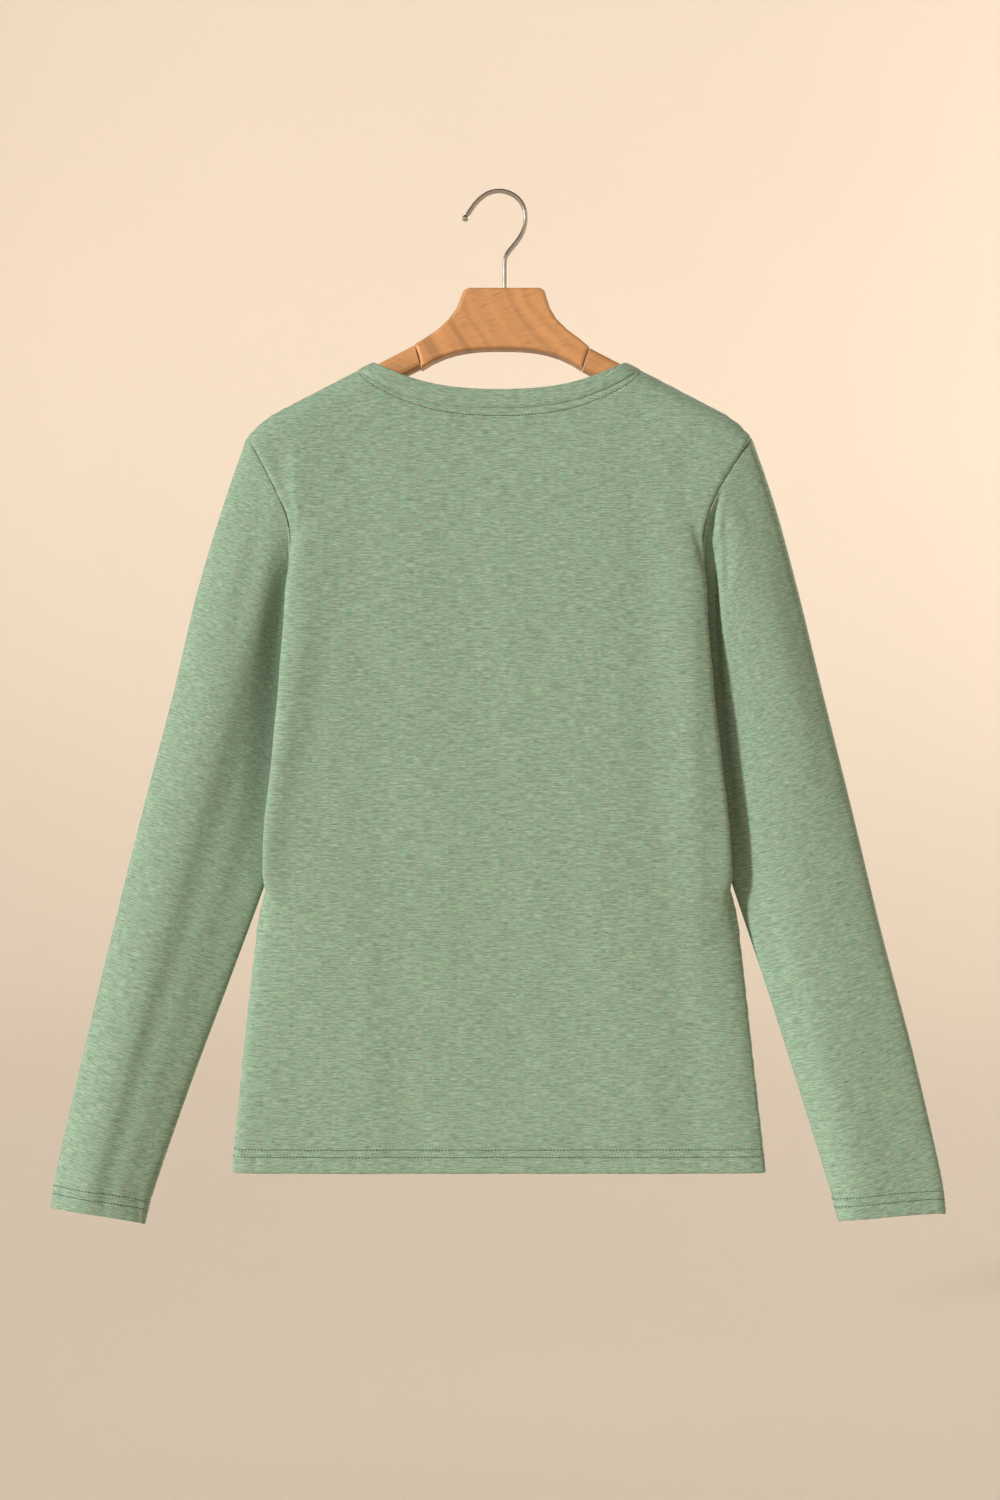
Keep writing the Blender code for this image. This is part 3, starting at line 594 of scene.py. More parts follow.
def neckband(inset_count, quarter_count):
    """Middle surface of the neckband: rows from its seam to its free edge, columns round the neck."""
    shares = np.sin(np.linspace(0, np.pi / 2, quarter_count))
    outward = shares[:-1]
    inward = shares[:0:-1]
    rows = []
    for inset in np.linspace(0, BAND_WIDTH, inset_count):
        quarters = []
        for sign, face, part in ((-1, -1, outward), (-1, 1, inward), (1, 1, outward), (1, -1, inward)):
            across = part * (NECK_ACROSS - 0.86 * inset)
            height = neckline(face, across, inset)
            depth = follow(BODY, "depth", height) * over_arm(across, height)
            quarters.append(np.stack([sign * across, face * depth, height], axis=1))
        rows.append(np.concatenate(quarters))
    return np.stack(rows)


def normals_of(middle, closed):
    """Unit normals of a grid: the cross product of its gradients along the row and down the column."""
    if closed:
        around = np.concatenate([middle[:, -1:], middle, middle[:, :1]], axis=1)
        along = np.gradient(around, axis=1)[:, 1:-1]
    else:
        along = np.gradient(middle, axis=1)
    return unit(np.cross(along, np.gradient(middle, axis=0)))


def lengths(grid, axis, closed=False):
    """Distance run along one axis of a grid of points, from its first point."""
    step = np.linalg.norm(np.diff(grid, axis=axis), axis=2)
    run = np.cumsum(step, axis=axis)
    start = np.zeros_like(run[:1]) if axis == 0 else np.zeros_like(run[:, :1])
    run = np.concatenate([start, run], axis=axis)
    if closed:
        last = np.linalg.norm(grid[:, 0] - grid[:, -1], axis=1)[:, None]
        run = np.concatenate([run, run[:, -1:] + last], axis=1)
    return run


def bell(distance, width):
    """A soft bump of height 1: exp(-(distance / width)^2)."""
    return np.exp(-(distance / width) ** 2)


def new_object(name, vertices, faces, material, uv=None):
    """A mesh object in metres from points in millimetres; uv holds one pair for each face corner."""
    mesh = bpy.data.meshes.new(name)
    mesh.from_pydata(vertices * MM, [], faces)
    if uv is not None:
        layer = mesh.uv_layers.new(name="Cloth")
        layer.data.foreach_set("uv", np.ascontiguousarray(uv, dtype=np.float32).ravel())
    mesh.polygons.foreach_set("use_smooth", np.ones(len(mesh.polygons), dtype=bool))
    mesh.materials.append(material)
    mesh.update()
    made = bpy.data.objects.new(name, mesh)
    bpy.context.collection.objects.link(made)
    return made


def shell(name, middle, outer, inner, closed, uv, material, face=0):
    """A closed wall of cloth on its middle surface.

    The outside grid, a rounded rim, the inside grid and the other rim follow each other as one
    loop of rows, so every quad joins a row to the next. face keeps a panel's wall on its own side
    of the seams that lie in the middle plane.
    """
    normal = normals_of(middle, closed)
    outer = np.reshape(outer, (-1, 1, 1))
    inner = np.reshape(inner, (-1, 1, 1))
    outside = middle + normal * outer
    inside = middle - normal * inner
    core = (outside + inside) / 2
    reach = RIM_SHARE * (outer + inner)
    last_rim = core[-1:] + unit(core[-1:] - core[-2:-1]) * reach[-1]
    first_rim = core[:1] + unit(core[:1] - core[1:2]) * reach[0]
    loop = np.concatenate([outside, last_rim, inside[::-1], first_rim])
    loop_uv = np.concatenate([uv, uv[-1:], uv[::-1], uv[:1]])
    loop[:, :, 0] += GARMENT_CENTRE
    if face:
        loop[:, :, 1] = face * np.maximum(face * loop[:, :, 1], SEAM_GAP / 2)
    rows, columns = loop.shape[:2]
    i = np.arange(rows)[:, None]
    j = np.arange(columns if closed else columns - 1)[None, :]
    corners = [((i + a) % rows + 0 * j, (j + b) + 0 * i) for a, b in ((0, 0), (0, 1), (1, 1), (1, 0))]
    quads = np.stack([r * columns + c % columns for r, c in corners], axis=-1).reshape(-1, 4)
    corner_uv = np.stack([loop_uv[r, c] for r, c in corners], axis=2).reshape(-1, 2)
    faces = quads.tolist()
    if not closed:
        count = len(middle)
        low = np.arange(count - 1)
        mirror = 2 * count - low
        left = np.stack([low, low + 1, mirror - 1, mirror], axis=1) * columns
        right = left[:, ::-1] + columns - 1
        tips = np.array([[count - 1, count, count + 1], [2 * count + 1, 0, 2 * count]]) * columns
        extra = left.tolist() + right.tolist() + tips.tolist() + (tips[:, ::-1] + columns - 1).tolist()
        faces += extra
        flat = np.array([index for polygon in extra for index in polygon])
        corner_uv = np.concatenate([corner_uv, loop_uv[flat // columns, flat % columns]])
    return new_object(name, loop.reshape(-1, 3), faces, material, corner_uv)


def path_at(grid, normal, distance, axis=0):
    """The line at a distance from the grid's first row or column, with its normals."""
    run = lengths(grid, axis)
    if axis:
        grid, normal, run = grid.swapaxes(0, 1), normal.swapaxes(0, 1), run.T
    wanted = np.broadcast_to(distance, run.shape[1:])
    i = np.clip((run < wanted).sum(axis=0) - 1, 0, len(run) - 2)
    j = np.arange(run.shape[1])
    t = ((wanted - run[i, j]) / np.maximum(run[i + 1, j] - run[i, j], 1e-9))[:, None]
    points = grid[i, j] * (1 - t) + grid[i + 1, j] * t
    ups = normal[i, j] * (1 - t) + normal[i + 1, j] * t
    return points, unit(ups)


def stitch_run(points, ups, pitch, gap, lift, closed=False):
    """Starts, ends and normals of the stitches along a line, in steps of even length."""
    if closed:
        points = np.concatenate([points, points[:1]])
        ups = np.concatenate([ups, ups[:1]])
    run = np.concatenate([[0.0], np.linalg.norm(np.diff(points, axis=0), axis=1).cumsum()])
    count = max(int(round(run[-1] / pitch)), 1)
    starts = np.arange(count) * run[-1] / count + gap / 2
    ends = starts + run[-1] / count - gap
    raised = points + ups * lift
    return [np.stack([np.interp(s, run, line[:, k]) for k in range(3)], axis=1)
            for s, line in ((starts, raised), (ends, raised), ((starts + ends) / 2, ups))]


def stitches(name, runs, radius, material):
    """Small rounded stitches joined in one mesh: five stations of a four-sided profile each.

    A station's size follows a short table, and its height above the cloth follows an arch.
    """
    start, end, up = (np.concatenate(part) for part in zip(*runs))
    along = end - start
    side = unit(np.cross(along, up))
    up = unit(up)
    t = np.array([0.0, 0.16, 0.5, 0.84, 1.0])
    size = np.array([0.25, 0.85, 1.0, 0.85, 0.25]) * radius
    arch = 4 * t * (1 - t) * radius * 0.6 + 0.1 * radius
    turn = np.radians([0, 90, 180, 270])
    centre = start[:, None] + along[:, None] * t[None, :, None] + up[:, None] * arch[None, :, None]
    ring = (side[:, None, None] * np.cos(turn)[None, None, :, None]
            + up[:, None, None] * np.sin(turn)[None, None, :, None] * 0.8)
    points = centre[:, :, None] + ring * size[None, :, None, None]
    points = points.reshape(-1, 3)
    points[:, 0] += GARMENT_CENTRE
    k = np.arange(4)
    sides = np.stack([k, (k + 1) % 4, (k + 1) % 4 + 4, k + 4], axis=1)
    first = np.arange(len(start)) * 4 * len(t)
    quads = first[:, None, None, None] + (4 * k)[:, None, None] + sides
    caps = np.concatenate([first[:, None] + k[::-1], first[:, None] + k + 4 * (len(t) - 1)])
    return new_object(name, points, quads.reshape(-1, 4).tolist() + caps.tolist(), material)


def node_tree(name, uv_map=None):
    """A new material, its node tree and its coordinates: a UV map's, or else the object's."""
    made = bpy.data.materials.new(name)
    made.use_nodes = True
    tree = made.node_tree
    if uv_map:
        return made, tree, add_node(tree, "ShaderNodeUVMap", uv_map=uv_map).outputs["UV"]
    return made, tree, add_node(tree, "ShaderNodeTexCoord").outputs["Object"]


def feed(tree, socket, value):
    """Sets a socket's value, or links it where the value is itself a socket."""
    if isinstance(value, bpy.types.NodeSocket):
        tree.links.new(value, socket)
    else:
        socket.default_value = value


def add_node(tree, kind, **values):
    """A node with its inputs fed by name, and its other properties set."""
    node = tree.nodes.new(kind)
    for key, value in values.items():
        if key in node.inputs:
            feed(tree, node.inputs[key], value)
        else:
            setattr(node, key, value)
    return node


def finish(tree, inputs, height=None, strength=0.0, depth=0.0):
    """Feeds the shader's named inputs, and its normal with a bump of a height, strength and depth."""
    shader = tree.nodes["Principled BSDF"]
    for name, value in inputs.items():
        feed(tree, shader.inputs[name], value)
    if height is not None:
        bump = add_node(tree, "ShaderNodeBump", Height=height, Strength=strength, Distance=depth)
        feed(tree, shader.inputs["Normal"], bump.outputs[0])


def stretched_noise(tree, vector, scale, detail=2.0, roughness=0.55, offset=(0.0, 0.0, 0.0)):
    """Noise stretched by its own scale along each axis, as one grey socket."""
    mapping = add_node(tree, "ShaderNodeMapping", Vector=vector, Scale=scale, Location=offset)
    noise = add_node(tree, "ShaderNodeTexNoise", Vector=mapping.outputs[0], Scale=1.0, Detail=detail,
                     Roughness=roughness)
    return noise.outputs["Fac"]


def ramp(tree, factor, *stops):
    """A colour ramp through the given (position, colour) stops."""
    node = tree.nodes.new("ShaderNodeValToRGB")
    tree.links.new(factor, node.inputs["Fac"])
    elements = node.color_ramp.elements
    while len(elements) < len(stops):
        elements.new(0.5)
    for element, (position, colour) in zip(elements, stops):
        element.position = position
        element.color = (*colour, 1.0)
    return node.outputs["Color"]


def multiplied(tree, colour, *parts):
    """A colour multiplied by others, one after the other."""
    for part in parts:
        node = add_node(tree, "ShaderNodeMix", data_type="RGBA", blend_type="MULTIPLY")
        for place, value in (("Factor", 1.0), (6, colour), (7, part)):
            feed(tree, node.inputs[place], value)
        colour = node.outputs[2]
    return colour


def ranged(tree, value, low, high):
    """A value from 0 to 1 carried to the range from low to high."""
    ends = {"To Min": low, "To Max": high}
    return add_node(tree, "ShaderNodeMapRange", Value=value, **ends).outputs[0]


def calculate(tree, operation, one, two):
    """One arithmetic step between two values."""
    node = add_node(tree, "ShaderNodeMath", operation=operation)
    feed(tree, node.inputs[0], one)
    feed(tree, node.inputs[1], two)
    return node.outputs[0]


def shade(colour, share):
    """A colour made lighter or darker by a share."""
    return tuple(min(c * share, 1.0) for c in colour)


def heather(name, colour, contrast):
    """Jersey with a heather yarn: short streaks along each course, fine loops and a soft nap."""
    made, tree, uv = node_tree(name, "Cloth")
    streak = stretched_noise(tree, uv, (150.0, 1500.0, 1.0), 3.0, 0.7)
    long_streak = stretched_noise(tree, uv, (50.0, 900.0, 1.0), 2.0, 0.6, (3.1, 7.7, 0.0))
    fleck = stretched_noise(tree, uv, (200.0, 1700.0, 1.0), 1.0, 0.5, (8.3, 1.9, 0.0))
    cloud = stretched_noise(tree, uv, (9.0, 14.0, 1.0), 2.0, 0.5, (1.3, 2.9, 0.0))
    light = shade(colour, 1 + contrast)
    dark = shade(colour, 1 - contrast)
    base = ramp(tree, streak, (0.30, dark), (0.50, colour), (0.70, light))
    hue = stretched_noise(tree, uv, (95.0, 1200.0, 1.0), 2.0, 0.6, (5.7, 4.1, 0.0))
    parts = (
        ramp(tree, hue, (0.38, (0.88, 1.02, 0.93)), (0.62, (1.14, 0.98, 1.05))),
        ramp(tree, long_streak, (0.32, shade(WHITE, 1 - 0.7 * contrast)), (0.62, WHITE)),
        ramp(tree, fleck, (0.24, shade(WHITE, 1 - 1.2 * contrast)), (0.40, WHITE)),
        ramp(tree, cloud, (0.3, shade(WHITE, 0.97)), (0.7, WHITE)),
    )
    loops = stretched_noise(tree, uv, (900.0, 1300.0, 1.0), 1.0, 0.5)
    height = calculate(tree, "ADD", calculate(tree, "MULTIPLY", streak, 0.6),
                       calculate(tree, "MULTIPLY", loops, 0.8))
    finish(tree, {"Base Color": multiplied(tree, base, *parts), "Roughness": 0.92,
                  "Specular IOR Level": 0.25, "Sheen Weight": 0.12, "Sheen Roughness": 0.5},
           height, 0.35, 0.0003)
    return made


def thread(name, colour):
    """Sewing thread: twisted plies as fine bands along Object coordinates. Its dark colour is partly the
    thread's own and partly painted shade, the shadow in and between the stitches.
    """
    made, tree, place = node_tree(name)
    ply = stretched_noise(tree, place, (2600.0,) * 3, 1.0)
    base = ramp(tree, ply, (0.35, shade(colour, 0.86)), (0.65, shade(colour, 1.1)))
    finish(tree, {"Base Color": base, "Roughness": 0.7, "Sheen Weight": 0.1})
    return made


def beech(name, colour, turn, grain_scale, centre, squash, ring_scale):
    """Oiled beech: rings as even noise of the distance to a far centre, fibres and short dark flecks.

    The rings waver with a coarse noise, so that they run as uneven bows across the wood.
    """
    made, tree, place = node_tree(name)
    turned = add_node(tree, "ShaderNodeMapping", Vector=place, Rotation=(0.0, turn, 0.0)).outputs[0]
    fibre = stretched_noise(tree, turned, grain_scale, 3.0, 0.65)
    fleck_scale = tuple(1.6 * s for s in grain_scale)
    fleck = stretched_noise(tree, turned, fleck_scale, 0.0, 0.5, (5.0, 3.0, 1.0))
    away = add_node(tree, "ShaderNodeMapping", Vector=turned, Scale=squash, Location=centre)
    length = add_node(tree, "ShaderNodeVectorMath", operation="LENGTH", Vector=away.outputs[0])
    waver = calculate(tree, "MULTIPLY", stretched_noise(tree, turned, (26.0,) * 3), 0.012)
    uneven = calculate(tree, "ADD", length.outputs["Value"], waver)
    distance = calculate(tree, "MULTIPLY", uneven, ring_scale)
    rings = add_node(tree, "ShaderNodeTexNoise", noise_dimensions="1D", W=distance, Scale=1.0,
                     Detail=1.5)
    base = ramp(tree, rings.outputs["Fac"], (0.30, shade(colour, 0.78)), (0.44, shade(colour, 0.97)),
                (0.70, shade(colour, 1.12)))
    fine = ramp(tree, fibre, (0.30, (0.88,) * 3), (0.62, (1.0,) * 3))
    dots = ramp(tree, fleck, (0.24, (0.80,) * 3), (0.34, (1.0,) * 3))
    finish(tree, {"Base Color": multiplied(tree, base, fine, dots),
                  "Roughness": ranged(tree, fibre, 0.5, 0.36),
                  "Coat Weight": 0.12, "Coat Roughness": 0.3}, fibre, 0.15, 0.0002)
    return made


def bright_wire(name, colour):
    """Bright plated wire: drawn scratches along it and slight smudges."""
    made, tree, place = node_tree(name)
    drawn = stretched_noise(tree, place, (900.0, 900.0, 240.0))
    smudge = stretched_noise(tree, place, (60.0,) * 3)
    base = ramp(tree, smudge, (0.3, shade(colour, 0.86)), (0.7, shade(colour, 1.08)))
    finish(tree, {"Base Color": base, "Metallic": 1.0, "Roughness": ranged(tree, drawn, 0.16, 0.32)},
           drawn, 0.08, 0.0001)
    return made


def give(node_names, material):
    """Puts a material on CAD nodes' slots, their meshes untouched."""
    for name in node_names:
        item = bpy.data.objects[name]
        if not item.material_slots:
            item.data.materials.append(material)
        for place in item.material_slots:
            place.material = material


class ShirtClothSettings(bpy.types.PropertyGroup):
    """Sizes and colour of the cloth."""

    wall: bpy.props.FloatProperty(
        name="Wall", description="Thickness of the single cloth", default=1.5 * MM, min=1.0 * MM,
        max=3.0 * MM, precision=4, unit="LENGTH")
    hem_wall: bpy.props.FloatProperty(
        name="Hem wall", description="Thickness where the cloth is turned up", default=2.6 * MM,
        min=1.0 * MM, max=4.0 * MM, precision=4, unit="LENGTH")
    band_wall: bpy.props.FloatProperty(
        name="Band wall", description="Thickness of the neckband", default=1.8 * MM, min=1.0 * MM,
        max=3.0 * MM, precision=4, unit="LENGTH")
    colour: bpy.props.FloatVectorProperty(
        name="Cloth colour", description="Mean colour of the heather jersey", subtype="COLOR", size=3,
        default=(0.255, 0.372, 0.272), min=0.0, max=1.0)
    contrast: bpy.props.FloatProperty(
        name="Heather contrast", description="How far light and dark yarns differ from the mean",
        default=0.42, min=0.0, max=1.0, subtype="FACTOR")
    pucker: bpy.props.FloatProperty(
        name="Pucker", description="Height of the small ripples along the seams", default=0.35 * MM,
        min=0.0, max=2.0 * MM, precision=5, unit="LENGTH")


class ShirtSewingSettings(bpy.types.PropertyGroup):
    """Sizes and colour of the stitches."""

    pitch: bpy.props.FloatProperty(
        name="Stitch pitch", description="Distance from one stitch to the next", default=2.6 * MM,
        min=1.0 * MM, max=8.0 * MM, precision=4, unit="LENGTH")
    gap: bpy.props.FloatProperty(
        name="Gap", description="Cloth that shows between two stitches", default=0.9 * MM,
        min=0.1 * MM, max=4.0 * MM, precision=5, unit="LENGTH")
    radius: bpy.props.FloatProperty(
        name="Thread radius", description="Half the thread's thickness", default=0.42 * MM,
        min=0.05 * MM, max=1.0 * MM, precision=5, unit="LENGTH")
    # The default thread colour is far darker than the cloth: partly the thread's own colour, partly
    # painted shade for the shadow in and between the stitches.
    colour: bpy.props.FloatVectorProperty(
        name="Thread colour", description="Colour of the sewing thread", subtype="COLOR", size=3,
        default=(0.05, 0.085, 0.06), min=0.0, max=1.0)


class ShirtHangerSettings(bpy.types.PropertyGroup):
    """Colours of the hanger."""

    wood: bpy.props.FloatVectorProperty(
        name="Wood colour", description="Mean colour of the beech", subtype="COLOR", size=3,
        default=(0.53, 0.255, 0.098), min=0.0, max=1.0)
    steel: bpy.props.FloatVectorProperty(
        name="Wire colour", description="Colour of the plated wire", subtype="COLOR", size=3,
        default=(0.47, 0.45, 0.41), min=0.0, max=1.0)


class ShirtStudioSettings(bpy.types.PropertyGroup):
    """Camera, lights and backdrop."""

    lens: bpy.props.FloatProperty(
        name="Lens", description="Focal length of the camera", default=45.0, min=10.0, max=200.0,
        subtype="DISTANCE_CAMERA")
    key_power: bpy.props.FloatProperty(
        name="Key light", description="Strength of the main light, from the upper left", default=3.9,
        min=0.0, max=20.0)
    fill_power: bpy.props.FloatProperty(
        name="Far side light", description="Strength of the soft light on the far side", default=1.8,
        min=0.0, max=20.0)
    world: bpy.props.FloatProperty(
        name="Room light", description="Strength of the even light from all round", default=0.10,
        min=0.0, max=5.0)
    backdrop: bpy.props.FloatVectorProperty(
        name="Backdrop", description="Colour of the floor and backdrop", subtype="COLOR", size=3,
        default=(0.76, 0.655, 0.54), min=0.0, max=1.0)


def shared_material(name, build, *values):
    """The named material, made on first use."""
    return bpy.data.materials.get(name) or build(name, *values)


def jersey(cloth):
    """The cloth's material by its settings."""
    return shared_material("heather_jersey", heather, tuple(cloth.colour), cloth.contrast)


def finish_cloth(made, node, with_pieces=()):
    """Hides the CAD node that a cloth piece stands for, and attaches the piece and its other pieces to
    the root body.
    """
    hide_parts(node)
    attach(made, "root")
    for piece in with_pieces:
        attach(piece, "root")


def sew(scene, name, middle, turned_up, uv, lines, face=0):
    """A panel (face -1 or 1) or a sleeve (face 0): its wall, and its stitches along some lines.

    The wall is thicker on the inside where turned_up is 1.
    """
    cloth, sewing = scene.shirt_cloth, scene.shirt_sewing
    closed = not face
    wall, hem_wall = cloth.wall / MM, cloth.hem_wall / MM
    inner = wall / 2 + (hem_wall - wall) * turned_up
    outer = np.full(len(inner), wall / 2)
    made = shell(name + "_cloth", middle, outer, inner, closed, uv, jersey(cloth), face)
    runs = [stitch_run(*line, sewing.pitch / MM, sewing.gap / MM, wall / 2, closed) for line in lines]
    # The thread material is far darker than the cloth: painted shade for the shadow in and between the
    # stitches, on top of the thread's own colour.
    yarn = shared_material("sewing_thread", thread, tuple(sewing.colour))
    sewn = stitches(name + "_stitches", runs, sewing.radius / MM, yarn)
    finish_cloth(made, name, [sewn])


class SHIRT_OT_panels(bpy.types.Operator):
    """Build the back and the front of the body with their hem and seam stitches"""

    bl_idname = "shirt.panels"
    bl_label = "Body panels"

    def execute(self, context):
        scene = context.scene
        counts, rows = (((38, 12, 30), (96, 68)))
        for name, face in (("back", -1), ("front", 1)):
            middle, heights = panel(face, counts, rows)
            if face > 0:
                middle = middle[:, ::-1]
            middle = self.ripple(middle, face, scene.shirt_cloth.pucker / MM)
            turned_up = 1 - clamp((heights - HEM_HEIGHT - TURN_UP + 0.8) / 1.6)
            from_side = lengths(middle, 1)
            centre = from_side[:, from_side.shape[1] // 2][:, None]
            uv = np.stack([(from_side - centre) * MM, middle[:, :, 2] * MM], axis=2)
            normal = normals_of(middle, False)
            lines = [path_at(middle, normal, d) for d in HEM_ROWS]
            lines.append(self.neck_row(middle[::-1], normal[::-1]))
            sew(scene, name, middle, turned_up, uv, lines,
                face)
        return {"FINISHED"}

    def ripple(self, middle, face, pucker):
        """Small ripples added along the normals.

        The cloth dips at its seams and stitch rows as bells of the distance to them, and ripples
        along them as uneven waves that fade away from the seam.
        """
        normal = normals_of(middle, False)
        across = middle[:, :, 0]
        height = middle[:, :, 2]
        run = lengths(middle, 1)
        side = np.minimum(run, run[:, -1:] - run)
        up = lengths(middle, 0)
        top = up[-1:] - up
        corner = bell(np.abs(across) - NECK_ACROSS, 8.0)
        move = -SEAM_DIP * (bell(side, SEAM_DIP_WIDTH) + bell(top, SEAM_DIP_WIDTH) * (1 - 0.9 * corner))
        move -= 0.35 * (bell(up - HEM_ROWS[0], 1.2) + bell(up - HEM_ROWS[1], 1.2) + bell(up - 21.5, 1.8))
        move -= 0.4 * bell(top - NECK_ROW, 1.0)
        seed = 2.0 + face
        move += pucker * waves(across, 11.0, seed) * clamp(1 - up / 26.0) ** 0.6
        move += 0.9 * pucker * waves(across, 9.0, seed + 3) * bell(top - 7.0, 9.0)
        move += 1.3 * pucker * waves(height, 15.0, seed + 5) * bell(side - 6.0, 9.0)
        edge_fade = clamp(side / 60.0) * clamp(top / 60.0)
        move += 0.5 * waves(across + 0.08 * height, 74.0, seed + 8) * edge_fade
        move += 0.25 * waves(height - 0.2 * across, 58.0, seed + 9) * edge_fade
        return middle + normal * move[..., None]

    def neck_row(self, middle, normal):
        """The line of the neck's cover stitch below the neck seam, on grids that start at the neck."""
        within = np.abs(middle[0, :, 0]) <= NECK_ACROSS - 1.0
        return path_at(middle[:, within], normal[:, within], NECK_ROW)


class SHIRT_OT_sleeves(bpy.types.Operator):
    """Build both sleeves with the twin stitch rows of their cuffs"""

    bl_idname = "shirt.sleeves"
    bl_label = "Sleeves"

    def execute(self, context):
        scene = context.scene
        ring_count, half_count = ((160, 48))
        for seed, side in enumerate(("left", "right")):
            middle, rings = sleeve(side, ring_count, half_count)
            middle = middle[::-1, ::-1] if side == "left" else middle[::-1]
            middle = self.ripple(middle, scene.shirt_cloth.pucker / MM, seed)
            turned_up = clamp((rings[::-1] - 6.94) / 0.06)
            normal = normals_of(middle, True)
            lines = [path_at(middle, normal, d) for d in CUFF_ROWS]
            sew(scene, "sleeve_" + side, middle, turned_up, self.grain(middle), lines)
        return {"FINISHED"}

    def ripple(self, middle, pucker, seed):
        """Small ripples along the normals, at the cuff, at its stitch rows and at the armhole seam."""
        normal = normals_of(middle, True)
        down = lengths(middle, 0)
        top = down[-1:] - down
        around = lengths(middle, 1)
        move = -0.3 * bell(top, 1.4)
        move -= 0.22 * (bell(down - CUFF_ROWS[0], 1.0) + bell(down - CUFF_ROWS[1], 1.0))
        move -= 0.35 * bell(down - 20.5, 1.8)
        move += pucker * waves(around, 9.0, seed + 11) * clamp(1 - down / 26.0) ** 0.6
        move += 1.3 * pucker * waves(around, 14.0, seed + 13) * bell(top - 6.0, 9.0)
        return middle + normal * move[..., None]

    def grain(self, middle):
        """Cloth coordinates: u across the sleeve's axis, v along it, with the wrap in the inner fold."""
        centre = middle.mean(axis=1)
        along = (middle - centre[0]) @ unit(centre[-1] - centre[0])
        along = np.concatenate([along, along[:, :1]], axis=1)
        around = lengths(middle, 1, True)
        around = around - around[:, -1:] / 2
        return np.stack([around * MM, along * MM], axis=2)


class SHIRT_OT_neckband(bpy.types.Operator):
    """Build the neckband"""

    bl_idname = "shirt.neckband"
    bl_label = "Neckband"

    def execute(self, context):
        cloth = context.scene.shirt_cloth
        inset_count, quarter_count = ((11, 64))
        middle = neckband(inset_count, quarter_count)[:, ::-1]
        down = lengths(middle, 0)
        corner = bell(np.abs(middle[:1, :, 0]) - NECK_ACROSS, 6.0)
        crown = 0.35 * np.sin(np.pi * clamp(down / down[-1:]))
        crown = crown - 0.7 * bell(down, 1.6) * (1 - 0.9 * corner)
        crown += 0.5 * cloth.pucker / MM * waves(lengths(middle, 1), 9.0, 21) * bell(down, 7.0)
        middle = middle + normals_of(middle, True) * crown[..., None]
        half = np.full(len(middle), cloth.band_wall / MM / 2)
        run = lengths(middle, 1, True)
        uv = np.stack([run, np.concatenate([down, down[:, :1]], axis=1)], axis=2) * MM
        made = shell("neckband_cloth", middle, half, half, True, uv, jersey(cloth))
        finish_cloth(made, "neckband")
        return {"FINISHED"}


class SHIRT_OT_hanger(bpy.types.Operator):
    """Give the hanger its beech and its bright wire"""

    bl_idname = "shirt.hanger"
    bl_label = "Hanger finishes"

    def execute(self, context):
        hanger = context.scene.shirt_hanger
        wood = tuple(hanger.wood)
        yoke = beech("beech_yoke", wood, 0.30, (60.0, 300.0, 520.0), (-0.075, 0.0, 0.052),
                     (1.0, 0.3, 0.8), 85.0)
        give(["hanger_yoke"], yoke)
        for side, turn in (("left", -0.48), ("right", 0.48)):
            arm = beech("beech_arm_" + side, wood, turn, (45.0, 300.0, 420.0), (0.0, 0.0, 0.5),
                        (0.06, 0.3, 1.0), 90.0)
            give(["hanger_arm_" + side], arm)
        give(["hanger_hook", "hook_ball"], bright_wire("bright_wire", tuple(hanger.steel)))
        return {"FINISHED"}


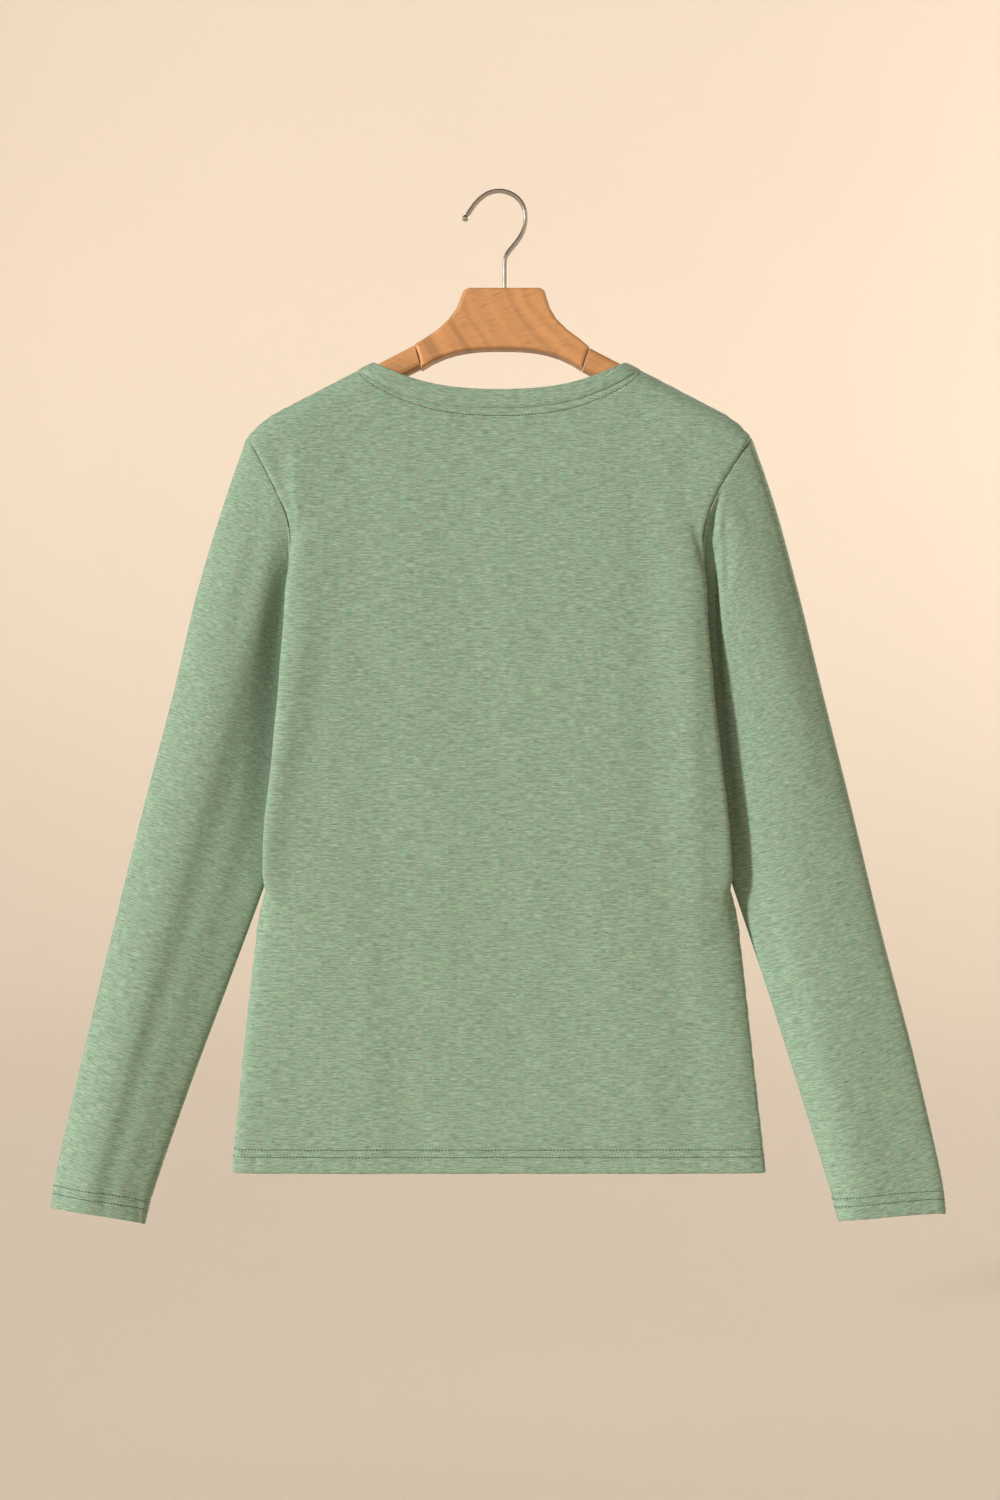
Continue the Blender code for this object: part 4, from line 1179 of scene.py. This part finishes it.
class SHIRT_OT_studio(bpy.types.Operator):
    """Set up the camera, the lights and the plain pale backdrop"""

    bl_idname = "shirt.studio"
    bl_label = "Studio"

    def execute(self, context):
        studio = context.scene.shirt_studio
        data = bpy.data.cameras.new("camera")
        data.lens = studio.lens
        data.sensor_width = 36.0
        data.clip_end = 100.0
        camera = bpy.data.objects.new("camera", data)
        camera.location = CAMERA_PLACE
        camera.rotation_euler = (np.pi / 2, 0.0, 0.0)
        context.collection.objects.link(camera)
        context.scene.camera = camera
        self.sun("key_light", KEY_DIRECTION, studio.key_power, 0.10, (1.0, 1.0, 0.985))
        self.sun("far_side_light", FAR_SIDE_DIRECTION, studio.fill_power, 0.5, (1.0, 1.0, 1.0))
        world = bpy.data.worlds.new("studio")
        world.use_nodes = True
        background = world.node_tree.nodes["Background"]
        background.inputs["Color"].default_value = (0.94, 0.98, 1.0, 1.0)
        background.inputs["Strength"].default_value = studio.world
        context.scene.world = world
        context.scene.view_settings.view_transform = "Standard"
        self.backdrop(tuple(studio.backdrop))
        return {"FINISHED"}

    def sun(self, name, direction, strength, angle, colour):
        """A distant light that shines from a direction, with soft edges by its angle."""
        data = bpy.data.lights.new(name, "SUN")
        data.energy = strength
        data.angle = angle
        data.color = colour
        item = bpy.data.objects.new(name, data)
        item.rotation_euler = Vector(direction).to_track_quat("Z", "Y").to_euler()
        bpy.context.collection.objects.link(item)

    def backdrop(self, colour):
        """A floor with walls: a flat middle, then a quarter circle up into an upright wall.

        Its plan is a rounded square, a superellipse of the fourth power.
        """
        made, tree, place = node_tree("pale_backdrop")
        cloud = stretched_noise(tree, place, (0.5,) * 3)
        base = ramp(tree, cloud, (0.3, shade(colour, 0.985)), (0.7, shade(colour, 1.015)))
        finish(tree, {"Base Color": base, "Roughness": 0.95})
        flat, bend, floor, wall = 2.6, 2.2, -1.05, 4.2
        turn = np.linspace(0, np.pi / 2, 17)
        radius = np.concatenate([[0.02, 1.0, 2.0], flat + bend * np.sin(turn), [flat + bend]])
        height = np.concatenate([[0.0, 0.0, 0.0], bend * (1 - np.cos(turn)), [wall]]) + floor
        around = np.linspace(0, 2 * np.pi, 64, endpoint=False)
        square = (np.cos(around) ** 4 + np.sin(around) ** 4) ** -0.25
        reach = radius[:, None] * square
        grid = np.stack([reach * np.cos(around), reach * np.sin(around), height[:, None] + 0 * around],
                        axis=2)
        rows, columns = grid.shape[:2]
        index = np.arange(rows * columns).reshape(rows, columns)
        other = np.roll(index, -1, axis=1)
        quads = np.stack([index[:-1], index[1:], other[1:], other[:-1]], axis=-1).reshape(-1, 4)
        faces = quads.tolist() + [index[0].tolist()]
        stage = new_object("backdrop", grid.reshape(-1, 3) / MM, faces, made)
        stage.visible_shadow = False
        stage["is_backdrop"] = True


class SHIRT_PT_panel(bpy.types.Panel):
    """Lists the steps that build the shirt"""

    bl_idname = "SHIRT_PT_panel"
    bl_label = "Hanging T-shirt"
    bl_space_type = "VIEW_3D"
    bl_region_type = "UI"
    bl_category = "Shirt"

    def draw(self, context):
        layout = self.layout
        for group in ("shirt_cloth", "shirt_sewing", "shirt_hanger", "shirt_studio"):
            settings = getattr(context.scene, group)
            box = layout.box()
            for name in settings.__annotations__:
                box.prop(settings, name)
        for operator in OPERATORS:
            layout.operator(operator.bl_idname)


GROUPS = {
    "shirt_cloth": ShirtClothSettings,
    "shirt_sewing": ShirtSewingSettings,
    "shirt_hanger": ShirtHangerSettings,
    "shirt_studio": ShirtStudioSettings,
}
OPERATORS = (SHIRT_OT_studio, SHIRT_OT_panels, SHIRT_OT_sleeves, SHIRT_OT_neckband, SHIRT_OT_hanger)


def register():
    """Adds the settings, the steps and the panel."""
    for made in (*GROUPS.values(), *OPERATORS, SHIRT_PT_panel):
        bpy.utils.register_class(made)
    for name, group in GROUPS.items():
        setattr(bpy.types.Scene, name, bpy.props.PointerProperty(type=group))


def unregister():
    """Takes them out again."""
    for name in GROUPS:
        delattr(bpy.types.Scene, name)
    for made in (SHIRT_PT_panel, *reversed(OPERATORS), *GROUPS.values()):
        bpy.utils.unregister_class(made)


def corners():
    """The object's lowest and highest corner as plain lists."""
    return [list(corner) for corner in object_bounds()]


def main():
    """Builds everything."""
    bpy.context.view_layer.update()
    register()
    bpy.ops.shirt.studio()
    bpy.ops.shirt.panels()
    bpy.ops.shirt.sleeves()
    bpy.ops.shirt.neckband()
    bpy.ops.shirt.hanger()


if __name__ == "__main__":
    main()
